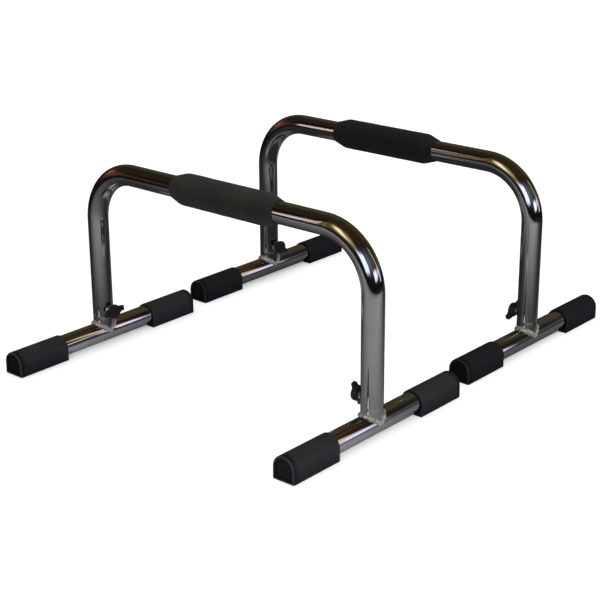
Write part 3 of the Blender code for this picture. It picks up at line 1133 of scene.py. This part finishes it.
@dataclass(frozen=True)
class Foot:
    """A cross foot: the tube with its two caps, and the welded upright with its swaged spigot."""

    length: float = FOOT_LENGTH
    cap: Cap = Cap()
    gap: float = 0.0003
    tube_edge: float = 0.0004
    shoulder_edge: float = 0.0001
    neck_edge: float = 0.0002
    spigot_length: float = 0.0300
    spigot_wall: float = 0.0015
    spigot_tip: float = 0.0012
    swage: float = 0.0030
    weld_front: float = 0.0030
    weld_side: float = 0.0027
    weld_set_in: float = 0.0012
    weld_climb: float = 0.0024
    weld_rings: int = 264
    weld_ripples: float = 15.0
    ripple_depth: float = 0.22
    weld_unevenness: float = 0.45

    def tube(self) -> bpy.types.Mesh:
        """Turn the foot tube.

        Returns:
            The tube along Z, open at both ends, with its middle at the origin.
        """
        half, soft = self.length / 2.0 - self.cap.end_wall - self.gap, self.tube_edge
        corners = [(TUBE.bore, -half, soft), (TUBE.radius, -half, soft),
                   (TUBE.radius, half, soft), (TUBE.bore, half, soft)]
        return smooth(turned("foot_tube", fillet(corners, 3, True), TUBE.sides, looped=True))

    def saddle(self, radius: float) -> Ring:
        """Draw the ring where a round tube that stands on the foot tube meets it.

        Args:
            radius: The standing tube's radius.

        Returns:
            The ring's points, with the foot's middle on the floor at the origin.
        """
        reach = TUBE.radius + self.gap
        ring = circle(radius, 0.0, TUBE.sides)
        for point in ring:
            point.z = TUBE.foot_axis + math.sqrt(max(reach * reach - point.x * point.x, 0.0))
        return ring

    def upright(self) -> bpy.types.Mesh:
        """Loft the upright with its saddle foot, shoulder and swaged spigot.

        Returns:
            The upright's mesh, with the foot's middle on the floor at the origin.
        """
        neck = TUBE.spigot - self.spigot_wall
        top = TUBE.seam + self.spigot_length
        corners = [
            (TUBE.radius, TUBE.crown, 0.0),
            (TUBE.radius, TUBE.seam, self.shoulder_edge),
            (TUBE.spigot, TUBE.seam, self.neck_edge),
            (TUBE.spigot, top - self.spigot_tip, self.tube_edge),
            (TUBE.spigot - self.spigot_tip, top, 0.0),
            (neck, top, 0.0),
            (neck, TUBE.seam, 0.0),
            (TUBE.bore, TUBE.seam - self.swage, 0.0),
        ]
        wall = [circle(r, z, TUBE.sides) for r, z in fillet(corners, 3, False)[1:]]
        rings = [self.saddle(TUBE.radius), *wall, self.saddle(TUBE.bore)]
        return smooth(loft("upright", rings, looped=True))

    def weld(self, seed: float) -> bpy.types.Mesh:
        """Lay the weld bead along the saddle.

        Args:
            seed: Shifts the unevenness, so that no two beads are alike.

        Returns:
            The bead's mesh, with the foot's middle on the floor at the origin.
        """
        line = bpy.data.meshes.new("weld_line")
        count = 120
        points = circle(TUBE.radius, 0.0, count)
        for point in points:
            aside = abs(point.x) / TUBE.radius
            point.z = abs(point.y) + self.weld_climb * aside ** 2
            point.x -= math.copysign(self.weld_set_in * aside ** 3, point.x)
        line.from_pydata(points, [(i, (i + 1) % count) for i in range(count)], [])
        rope = linked("weld_line", line)
        run_tree(rope, weld_tree(), {
            "Rings": self.weld_rings, "Ripples": self.weld_ripples, "Ripple Depth": self.ripple_depth,
            "Side Radius": self.weld_side, "Front Radius": self.weld_front,
            "Unevenness": self.weld_unevenness, "Seed": seed, "Material": FINISHES.weld.material()})
        skin = as_mesh(rope, "weld_skin")
        skin.transform(Matrix.Translation((0.0, 0.0, TUBE.foot_axis)))
        shape = bmesh.new()
        shape.from_mesh(skin)
        bpy.data.meshes.remove(skin)
        merge(shape)
        return smooth(to_mesh(shape, "weld_bead"), 70.0)


@dataclass(frozen=True)
class Clamp:
    """The boss on the leg, the threaded stud and the wing knob. Local +Z points from the leg inward."""

    gap: float = 0.0003
    stud_radius: float = 0.0030
    stud_tip: float = 0.0006
    head_radius: float = 0.0040
    head_length: float = 0.0030
    head_depth: float = 0.0024
    pitch: float = 0.0010
    thread_depth: float = 0.0006
    thread_run_in: float = 0.0001
    thread_run_out: float = 0.0002
    boss_radius: float = 0.0048
    boss_proud: float = 0.0024
    boss_wall: float = 0.0016
    boss_edge: float = 0.0005
    boss_lead: float = 0.0004
    knob_clear: float = 0.0008
    hub_radius: float = 0.0077
    hub_base_radius: float = 0.0060
    hub_flare: float = 0.0020
    hub_length: float = 0.0066
    hub_dome: float = 0.0012
    wing_span: float = 0.0266
    wing_depth: float = 0.0059
    wing_slant: float = 0.0028
    wing_thickness: float = 0.0068
    wing_end: float = 0.0016
    wing_edge: float = 0.0012
    tip_share: float = 0.55
    tip_rise: float = 0.0008
    tip_drop: float = 0.0012
    thinnest: float = 0.0004
    edge_of_thickness: float = 0.8
    edge_of_height: float = 0.3
    scoop_depth: float = 0.0009
    scoop_reach: float = 0.0024
    rib_count: int = 4
    rib_spacing: float = 0.0013
    rib_height: float = 0.52
    rib_size: tuple[float, float, float] = (0.00035, 0.0004, 0.0020)
    voxel: float = 0.00025

    @property
    def stud_tip_at(self) -> float:
        """Where the stud's tip stops, just short of the spigot."""
        return TUBE.spigot + self.gap

    @property
    def base(self) -> float:
        """Where the back of the knob stands, clear of the boss."""
        return TUBE.radius + self.boss_proud + self.knob_clear

    @property
    def scoop_at(self) -> float:
        """How far out along a wing the middle of its thumb scoop lies."""
        return (self.hub_radius + self.wing_span / 2.0) / 2.0

    def on_leg(self, ring: Ring, sink: float) -> Ring:
        """Drop a ring onto the round of the leg, which stands along local X."""
        reach = TUBE.radius - sink
        return [Vector((p.x, p.y, math.sqrt(reach * reach - p.y * p.y))) for p in ring]

    def boss(self) -> bpy.types.Mesh:
        """Turn the boss, a short collar with a fillet of weld where it stands on the leg.

        Returns:
            The boss's mesh, with the leg's middle at the origin.
        """
        sides, root_sink = 48, 0.0001
        fillet_steps = ((0.0007, 0.0), (0.0004, 0.00012), (0.00015, 0.0004))
        bore = self.stud_radius + self.gap
        top = TUBE.radius + self.boss_proud
        corners = [
            (self.boss_radius, top - self.boss_wall, 0.0),
            (self.boss_radius, top, self.boss_edge),
            (bore + self.boss_lead, top, self.boss_lead / 2.0),
            (bore, top - self.boss_lead, 0.0),
        ]
        wall = [circle(r, z, sides) for r, z in fillet(corners, 4, False)]
        foot = [self.on_leg(circle(self.boss_radius + out, 0.0, sides), -rise) for out, rise in fillet_steps]
        root = self.on_leg(circle(bore, 0.0, sides), root_sink)
        return smooth(loft("clamp_boss", [root, *foot, *wall], looped=True), 40.0)

    def stud(self) -> bpy.types.Mesh:
        """Turn the stud with its head, and cut its thread by a geometry node tree.

        Returns:
            The stud's mesh, with the leg's middle at the origin.
        """
        rows, sides = 64, 48
        foot = self.base + self.head_depth
        top = foot + self.head_length
        start = self.stud_tip_at + self.stud_tip
        shank = [(self.stud_radius, start + (foot - start) * i / rows) for i in range(rows + 1)]
        profile = [(0.0, self.stud_tip_at), (self.stud_radius - self.stud_tip, self.stud_tip_at), *shank]
        profile += [(self.head_radius, foot), (self.head_radius, top), (0.0, top)]
        blank = linked("stud_blank", turned("stud_blank", profile, sides))
        run_tree(blank, thread_tree(), {
            "Pitch": self.pitch, "Depth": self.thread_depth, "Start": start - self.thread_run_in,
            "End": foot - self.thread_run_out, "Material": FINISHES.zinc.material()})
        return smooth(as_mesh(blank, "clamp_stud"), 50.0)

    def hub(self) -> bpy.types.Mesh:
        """Turn the knob's drum: a neck that flares out to a rounded drum with a domed face.

        Returns:
            The drum's mesh.
        """
        sides, steps = 72, 12
        foot_in, foot_up, rim_in, rim_up = 0.0004, 0.0003, 0.0002, 0.0005
        top = self.base + self.hub_length
        flare = self.base + self.hub_flare
        profile: list[Point] = [
            (0.0, self.base),
            (self.hub_base_radius - foot_in, self.base),
            (self.hub_base_radius, self.base + foot_up),
            (self.hub_radius - rim_in, flare),
            (self.hub_radius, flare + rim_up),
        ]
        for step in range(steps, -1, -1):
            turn = QUARTER_TURN * step / steps
            profile.append((self.hub_radius * math.sin(turn), top - self.hub_dome * (1.0 - math.cos(turn))))
        return turned("hub", profile, sides)

    def wing_section(self, along: float) -> Ring:
        """Draw one section across the wing bar.

        Args:
            along: How far along the span the section lies.

        Returns:
            A rounded oblong in the plane across the span.
        """
        half, out = self.wing_span / 2.0, abs(along)
        past = max((out - half + self.wing_end) / self.wing_end, 0.0)
        squeeze = math.sqrt(max(1.0 - past ** 2, 0.0))
        scoop = self.scoop_depth * math.exp(-(((out - self.scoop_at) / self.scoop_reach) ** 2))
        share = self.tip_share + (1.0 - self.tip_share) * squeeze
        thick = max((self.wing_thickness / 2.0 - scoop) * share, self.thinnest)
        slant = max(out - (half - self.wing_slant), 0.0)
        low = self.base + slant + self.tip_rise * (1.0 - squeeze)
        high = self.base + self.wing_depth - self.tip_drop * (1.0 - squeeze)
        soft = min(self.wing_edge, thick * self.edge_of_thickness, (high - low) * self.edge_of_height)
        corners = [(-thick, low, soft), (thick, low, soft), (thick, high, soft), (-thick, high, soft)]
        return [Vector((along, x, z)) for x, z in fillet(corners, 4, True)]

    def wings(self) -> bpy.types.Mesh:
        """Loft the wing bar along its span.

        Returns:
            The bar's mesh, closed at both tips.
        """
        rows = 90
        turns = [QUARTER_TURN * (2.0 * i / rows - 1.0) for i in range(rows + 1)]
        sections = [self.wing_section(self.wing_span / 2.0 * math.sin(turn)) for turn in turns]
        first, last = ([sum(end, Vector()) / len(end)] * len(end) for end in (sections[0], sections[-1]))
        return loft("wings", [first, *sections, last])

    def ribs(self) -> bpy.types.Mesh:
        """Lay rows of small grip ribs in the four thumb scoops.

        Returns:
            The ribs as one mesh.
        """
        shape = bmesh.new()
        bmesh.ops.create_uvsphere(shape, u_segments=16, v_segments=10, radius=1.0)
        rib = to_mesh(shape, "rib")
        rib.transform(Matrix.Diagonal((*self.rib_size, 1.0)))
        source = linked("rib", rib)
        run_tree(source, rib_tree(), {
            "Count": self.rib_count, "Spacing": self.rib_spacing, "Material": FINISHES.plastic.material()})
        row = as_mesh(source, "rib_row")
        back = self.rib_spacing * (self.rib_count - 1) / 2.0
        out = self.wing_thickness / 2.0 - self.scoop_depth
        height = self.base + self.wing_depth * self.rib_height
        joined = bmesh.new()
        for x in (-self.scoop_at, self.scoop_at):
            for y in (-out, out):
                joined.from_mesh(placed(row, Matrix.Translation((x - back, y, height))))
        return to_mesh(joined, "ribs")

    def pocket(self) -> bpy.types.Mesh:
        """Turn the hollow that the stud and its head fill.

        Returns:
            The hollow's mesh, which reaches out past the knob's back.
        """
        sides, past = 48, 0.0020
        neck, room = self.stud_radius + self.gap, self.head_radius + self.gap
        foot = self.base + self.head_depth - self.gap
        top = self.base + self.head_depth + self.head_length + self.gap
        mouth = self.base - past
        profile = [(0.0, mouth), (neck, mouth), (neck, foot), (room, foot), (room, top), (0.0, top)]
        return turned("pocket", profile, sides)

    def knob(self) -> bpy.types.Mesh:
        """Join the knob as one moulding, with the soft inner corners that a mould gives.

        Returns:
            The knob's mesh, with the leg's middle at the origin.
        """
        body = linked("knob", self.hub())
        tools = {"UNION": [self.wings(), self.ribs()], "DIFFERENCE": [self.pocket()]}
        used = []
        for operation, meshes in tools.items():
            for mesh in meshes:
                used.append(linked(mesh.name, mesh))
                boolean(body, used[-1], operation)
        skin = body.modifiers.new("Skin", "REMESH")
        skin.mode = "VOXEL"
        skin.voxel_size = self.voxel
        soften = body.modifiers.new("Soften", "SMOOTH")
        soften.factor = 0.5
        soften.iterations = 4
        made = as_mesh(body, "wing_knob")
        for tool in used:
            bpy.data.objects.remove(tool, do_unlink=True)
        return smooth(made, 60.0)


class PushUpBar:
    """One complete bar: its handle, grip, two feet and two clamps."""

    WING_ANGLE = {
        (Bar.NEAR, Side.LEFT): 6.0,
        (Bar.NEAR, Side.RIGHT): -66.0,
        (Bar.FAR, Side.LEFT): -34.0,
        (Bar.FAR, Side.RIGHT): 28.0,
    }
    GRIP_SHIFT = {Bar.NEAR: 0.0040, Bar.FAR: -0.0070}
    FOAM_SEED = 7.0
    WELD_SEED = 3.0
    handle = Handle()
    grip = Grip()
    foot = Foot()
    clamp = Clamp()

    def __init__(self, bar: Bar, meshes: dict[str, bpy.types.Mesh]) -> None:
        """Choose the bar's place and finishes.

        Args:
            bar: Which bar this is.
            meshes: The meshes that both bars share.
        """
        self.bar = bar
        self.meshes = meshes
        # The near bar gets the lit copies and the far bar the shaded copies of the foam and the cap rubber:
        # painted light and shade.
        lit_near_bar = bar is Bar.NEAR
        self.foam = FINISHES.near_lit_foam if lit_near_bar else FINISHES.far_shaded_foam
        self.rubber = FINISHES.near_lit_rubber if lit_near_bar else FINISHES.far_shaded_rubber

    @classmethod
    def shared_meshes(cls) -> dict[str, bpy.types.Mesh]:
        """Make the meshes that both bars use.

        Returns:
            Each mesh by its word.
        """
        makers: dict[str, Callable[[], bpy.types.Mesh]] = {
            "handle": cls.handle.tube,
            "foot_tube": cls.foot.tube,
            "upright": cls.foot.upright,
            "cap": cls.foot.cap.mesh,
            "boss": cls.clamp.boss,
            "stud": cls.clamp.stud,
            "knob": cls.clamp.knob,
        }
        return {name: maker() for name, maker in makers.items()}

    def leg_place(self, side: Side) -> Vector:
        """Where a leg stands on the floor."""
        return self.bar.centre - Vector((side.inward * self.handle.leg_spacing / 2.0, 0.0, 0.0))

    def build_handle(self) -> None:
        """Add the handle's tube and its foam sleeve."""
        label = self.bar.label
        body = label + "_handle"
        tube = placed(self.meshes["handle"], Matrix.Translation(self.bar.centre))
        add_piece(label + "_bent_tube", tube, FINISHES.chrome, body, label + "_handle_tube")
        middle = self.bar.centre + Vector((self.GRIP_SHIFT[self.bar], 0.0, self.handle.height))
        lay = Matrix.Translation(middle) @ Matrix.Rotation(QUARTER_TURN, 4, "Y")
        sleeve = placed(self.grip.mesh(self.FOAM_SEED * self.bar.outward), lay)
        add_piece(label + "_foam_sleeve", sleeve, self.foam, body, label + "_grip")

    def build_foot(self, side: Side) -> None:
        """Add one cross foot: its tube, upright, weld bead and caps.

        Args:
            side: The end of the bar that it is on.
        """
        name = f"{self.bar.label}_{side.value}_"
        body = name + "foot"
        ground = self.leg_place(side)
        axis = ground + Vector((0.0, 0.0, TUBE.foot_axis))
        x, y, z = Vector((1.0, 0.0, 0.0)), Vector((0.0, 1.0, 0.0)), Vector((0.0, 0.0, 1.0))
        tube = placed(self.meshes["foot_tube"], turned_to(x, z, -y, axis))
        add_piece(name + "cross_tube", tube, FINISHES.chrome, body, name + "foot_tube")
        stand = Matrix.Translation(ground)
        post = placed(self.meshes["upright"], stand)
        add_piece(name + "spigot_post", post, FINISHES.chrome, body, name + "upright")
        bead = self.foot.weld(self.WELD_SEED * self.bar.outward + side.inward)
        bead.transform(stand)
        add_piece(name + "weld_ripples", bead, FINISHES.weld, body, name + "weld_bead")
        for end in CapEnd:
            way = self.bar.outward * end.value
            middle = axis + y * way * (self.foot.length - self.foot.cap.length) / 2.0
            cap = placed(self.meshes["cap"], turned_to(x * -way, z, y * way, middle))
            add_piece(f"{name}{end.label}_end_cap", cap, self.rubber, body, f"{name}{end.label}_cap")

    def build_clamp(self, side: Side) -> None:
        """Add the boss, stud and knob on the inner side of one leg.

        Args:
            side: The end of the bar that they are on.
        """
        name = f"{self.bar.label}_{side.value}_"
        down, along = Vector((0.0, 0.0, -side.inward)), Vector((0.0, 1.0, 0.0))
        origin = self.leg_place(side) + Vector((0.0, 0.0, TUBE.clamp))
        axis = turned_to(down, along, Vector((side.inward, 0.0, 0.0)), origin)
        swing = math.radians(self.WING_ANGLE[(self.bar, side)]) * side.inward
        turn = axis @ Matrix.Rotation(swing + QUARTER_TURN, 4, "Z")
        boss, stud = placed(self.meshes["boss"], axis), placed(self.meshes["stud"], axis)
        add_piece(name + "turned_boss", boss, FINISHES.zinc, self.bar.label + "_handle", name + "clamp_boss")
        add_piece(name + "threaded_stud", stud, FINISHES.zinc, name + "screw", name + "clamp_screw")
        knob = placed(self.meshes["knob"], turn)
        add_piece(name + "moulded_knob", knob, FINISHES.plastic, name + "knob", name + "wing_knob")

    def build(self) -> None:
        """Add every piece of the bar."""
        self.build_handle()
        for side in Side:
            self.build_foot(side)
            self.build_clamp(side)


# The studio


def direction(azimuth: float, elevation: float) -> Vector:
    """Point from the bars to a place in the room.

    Args:
        azimuth: Degrees round from the front towards +X.
        elevation: Degrees up from level.

    Returns:
        The direction, of length one.
    """
    a, e = math.radians(azimuth), math.radians(elevation)
    return Vector((math.sin(a) * math.cos(e), -math.cos(a) * math.cos(e), math.sin(e)))


@dataclass(frozen=True)
class Viewpoint:
    """Where the photograph was taken from, in metres and degrees."""

    azimuth: float = 41.0
    elevation: float = 20.24
    roll: float = -0.37
    distance: float = 1.470
    target: tuple[float, float, float] = (0.0597, -0.0909, 0.0905)
    lens: float = 88.85

    def place(self) -> None:
        """Add the camera and make it the scene's."""
        a, r = math.radians(self.azimuth), math.radians(self.roll)
        back = direction(self.azimuth, self.elevation)
        level = Vector((math.cos(a), math.sin(a), 0.0))
        rise = back.cross(level)
        right = level * math.cos(r) + rise * math.sin(r)
        up = rise * math.cos(r) - level * math.sin(r)
        data = bpy.data.cameras.new("camera")
        data.sensor_width = 36.0
        data.lens = self.lens
        data.clip_start, data.clip_end = 0.01, 100.0
        made = linked("camera", data)
        made.matrix_world = turned_to(right, up, back, Vector(self.target) + back * self.distance)
        bpy.context.scene.camera = made


@dataclass(frozen=True)
class Softbox:
    """A large soft light that only lights matt surfaces: mirror-like ones show the room instead."""

    name: str
    azimuth: float
    elevation: float
    distance: float
    size: float
    power: float

    def place(self) -> None:
        """Add the light, aimed at the middle of the bars."""
        back = direction(self.azimuth, self.elevation)
        data = bpy.data.lights.new(self.name, "AREA")
        data.shape = "SQUARE"
        data.size = self.size
        data.energy = self.power
        data.use_shadow = False
        made = linked(self.name, data)
        made.matrix_world = back.to_track_quat("Z", "Y").to_matrix().to_4x4()
        made.location = back * self.distance
        made.visible_camera = False
        made.visible_glossy = False


@dataclass(frozen=True)
class Skylight:
    """An even light from overhead, so wide that its shadows are faint."""

    power: float = 2.2
    spread: float = 110.0
    lean: float = 12.0

    def place(self) -> None:
        """Add the light."""
        data = bpy.data.lights.new("skylight", "SUN")
        data.energy = self.power
        data.angle = math.radians(self.spread)
        made = linked("skylight", data)
        made.matrix_world = Matrix.Rotation(math.radians(self.lean), 4, "X")
        made.visible_glossy = False


@dataclass(frozen=True)
class Floor:
    """A plain pale floor that polished parts show darker, as a table in a dim room.

    What they show is painted light and shade: dark behind the bars, a painted sheen paler towards the camera's
    side, a painted glare in a strip beside each foot, and nearly black past the table's edge. A range's ends
    are places in metres. A shade is a share of white.
    """

    size: float = 14.0
    squares: int = 8
    seen: float = 0.90
    seen_lift: float = 0.33
    seen_roughness: float = 0.95
    shown_roughness: float = 0.38
    lean: tuple[float, float, float] = (0.574, -0.819, 0.0)
    lean_range: tuple[float, float] = (-0.045, 0.48)
    lean_shades: tuple[float, float] = (0.036, 0.36)
    feet_at: float = 0.19
    strip_range: tuple[float, float] = (0.04, 0.09)
    strip_run: tuple[float, float] = (-0.20, -0.02)
    strip_shades: tuple[float, float] = (0.50, 0.15)
    strip_end: tuple[float, float] = (-0.220, -0.185)
    table_range: tuple[float, float] = (0.60, 1.00)
    past_table: float = 0.01

    def shade(self, build: Nodes) -> bpy.types.NodeSocket:
        """Work out how bright polished parts show the floor.

        Args:
            build: The floor material's nodes.

        Returns:
            The shade's socket.
        """
        place = build.place()
        away = build.add("ShaderNodeVectorMath", {0: place}, operation="LENGTH").outputs["Value"]
        lean = build.add("ShaderNodeVectorMath", {0: place, 1: self.lean}, operation="DOT_PRODUCT")
        # Painted sheen, paler towards the camera's side, and below it a painted glare in a strip beside each
        # foot.
        open_floor = build.ramp(lean.outputs["Value"], *self.lean_range, *self.lean_shades)
        x, y, _ = build.add("ShaderNodeSeparateXYZ", {0: place}).outputs
        gap = build.math("ABSOLUTE", build.math("SUBTRACT", build.math("ABSOLUTE", x), self.feet_at))
        glare = build.ramp(y, *self.strip_run, *self.strip_shades, soft=False)
        beside = build.ramp(gap, *self.strip_range, glare, 0.0)
        strip = build.ramp(y, *self.strip_end, 0.0, beside, soft=False)
        return build.ramp(away, *self.table_range, build.math("MAXIMUM", open_floor, strip), self.past_table)

    def place(self) -> None:
        """Add the floor."""
        shape = bmesh.new()
        bmesh.ops.create_grid(shape, x_segments=self.squares, y_segments=self.squares, size=self.size)
        mesh = to_mesh(shape, "floor")
        made = linked("floor", mesh)
        paint = bpy.data.materials.new("floor_paint")
        paint.use_nodes = True
        build = Nodes(paint.node_tree)
        shader = build.tree.nodes["Principled BSDF"].inputs
        seen = build.add("ShaderNodeLightPath").outputs["Is Camera Ray"]
        white = opaque((self.seen, self.seen, self.seen))
        build.feed(shader["Base Color"], build.mixed(seen, self.shade(build), white))
        build.feed(shader["Roughness"],
                   build.ramp(seen, 0.0, 1.0, self.shown_roughness, self.seen_roughness, soft=False))
        shader["Specular IOR Level"].default_value = 0.0
        shader["Emission Color"].default_value = opaque((1.0, 1.0, 1.0))
        build.feed(shader["Emission Strength"], build.math("MULTIPLY", seen, self.seen_lift))
        mesh.materials.append(paint)


@dataclass(frozen=True)
class Glow:
    """A soft-edged bright place in the room that polished parts show. Angles are in degrees."""

    azimuth: float
    elevation: float
    width: float
    height: float
    tilt: float
    edge: float
    colour: Colour


class Room:
    """The dim room that the chrome reflects, pale where the camera looks past the floor."""

    PALE = (0.96, 0.96, 0.96)
    CEILING = (
        (-90.0, (0.020, 0.020, 0.022)),
        (-4.0, (0.012, 0.014, 0.018)),
        (6.0, (0.020, 0.021, 0.022)),
        (28.0, (0.045, 0.044, 0.044)),
        (50.0, (0.050, 0.040, 0.022)),
        (90.0, (0.045, 0.028, 0.009)),
    )
    GLOWS = (
        Glow(205.0, 32.0, 80.0, 54.0, 0.0, 16.0, (0.075, 0.062, 0.034)),
        Glow(150.0, 6.0, 60.0, 14.0, 0.0, 8.0, (0.110, 0.100, 0.110)),
        Glow(88.0, 32.0, 76.0, 24.0, 0.0, 10.0, (0.090, 0.088, 0.078)),
        Glow(328.0, 30.0, 22.0, 60.0, 0.0, 7.0, (0.060, 0.036, 0.010)),
        Glow(313.0, 18.0, 9.0, 64.0, 0.0, 4.0, (0.006, 0.006, 0.006)),
        Glow(290.0, 12.0, 52.0, 14.0, -18.0, 8.0, (0.150, 0.052, 0.028)),
        Glow(280.0, 17.0, 18.0, 8.0, -10.0, 5.0, (0.400, 0.150, 0.095)),
        Glow(44.0, 24.0, 64.0, 22.0, 14.0, 11.0, (0.150, 0.165, 0.220)),
        Glow(348.0, 32.0, 40.0, 44.0, 0.0, 10.0, (0.230, 0.140, 0.035)),
        Glow(358.0, 31.0, 20.0, 18.0, 0.0, 6.0, (0.500, 0.390, 0.210)),
        Glow(343.5, 31.0, 15.0, 27.0, 14.0, 5.0, (1.550, 1.380, 0.880)),
        Glow(22.0, 15.5, 38.0, 20.0, 26.0, 4.0, (1.500, 1.620, 1.950)),
        Glow(30.0, 15.0, 17.0, 15.0, 0.0, 3.0, (1.500, 1.620, 1.950)),
        Glow(87.0, 12.0, 30.0, 13.0, 8.0, 3.0, (1.600, 1.600, 1.700)),
        Glow(112.0, 13.0, 26.0, 6.0, 8.0, 3.0, (1.100, 1.080, 1.100)),
        Glow(320.5, 10.0, 2.2, 38.0, 0.0, 0.7, (1.200, 0.940, 0.840)),
        Glow(325.5, 18.0, 2.0, 34.0, 0.0, 1.0, (0.300, 0.220, 0.170)),
        Glow(158.0, 50.0, 34.0, 10.0, 0.0, 4.0, (0.120, 0.040, 0.018)),
        Glow(131.0, 28.0, 7.0, 30.0, 0.0, 3.0, (1.000, 0.720, 0.420)),
        Glow(131.5, 0.0, 9.0, 34.0, 0.0, 3.0, (1.300, 1.200, 1.600)),
    )

    def ceiling(self, build: Nodes, elevation: bpy.types.NodeSocket) -> bpy.types.NodeSocket:
        """Colour the room by height.

        Args:
            build: The world's nodes.
            elevation: How far up the direction points, in degrees.

        Returns:
            The colour's socket.
        """
        height = build.ramp(elevation, -90.0, 90.0, 0.0, 1.0, soft=False)
        ramp = build.add("ShaderNodeValToRGB", {"Fac": height})
        stops = ramp.color_ramp.elements
        for i, (angle, colour) in enumerate(self.CEILING):
            stop = stops[i] if i < 2 else stops.new(0.5)
            stop.position = (angle + 90.0) / 180.0
            stop.color = opaque(colour)
        return ramp.outputs["Color"]

    def build(self) -> None:
        """Make the room the scene's world."""
        world = bpy.data.worlds.new("room")
        world.use_nodes = True
        build = Nodes(world.node_tree)
        way = build.add("ShaderNodeTexCoord").outputs["Generated"]
        x, y, z = build.add("ShaderNodeSeparateXYZ", {0: way}).outputs
        azimuth = build.math("DEGREES", build.math("ARCTAN2", x, build.math("MULTIPLY", y, -1.0)))
        elevation = build.math("DEGREES", build.math("ARCSINE", z))
        shade = self.ceiling(build, elevation)
        oblong = glow_group()
        for glow in self.GLOWS:
            mask = build.out("ShaderNodeGroup", {
                "Azimuth": azimuth, "Elevation": elevation, "Middle Azimuth": glow.azimuth,
                "Middle Elevation": glow.elevation, "Half Width": glow.width / 2.0,
                "Half Height": glow.height / 2.0, "Tilt": glow.tilt, "Edge": glow.edge}, node_tree=oblong)
            shade = build.mixed(mask, shade, opaque(glow.colour))
        seen = build.add("ShaderNodeLightPath").outputs["Is Camera Ray"]
        background = build.tree.nodes["Background"].inputs
        build.feed(background["Color"], build.mixed(seen, shade, opaque(self.PALE)))
        bpy.context.scene.world = world


def build_studio() -> None:
    """Add the camera, the floor, the room and the lights."""
    Viewpoint().place()
    Floor().place()
    Room().build()
    Softbox("low_light", 60.0, -65.0, 1.2, 0.9, 10.0).place()
    Softbox("side_light", 100.0, 16.0, 1.4, 0.9, 10.0).place()
    Skylight().place()
    bpy.context.scene.view_settings.view_transform = "Standard"


def main() -> None:
    """Build the studio and both bars."""
    logging.basicConfig(level=logging.INFO, format="%(name)s: %(message)s")
    build_studio()
    meshes = PushUpBar.shared_meshes()
    for bar in Bar:
        PushUpBar(bar, meshes).build()


if __name__ == "__main__":
    main()
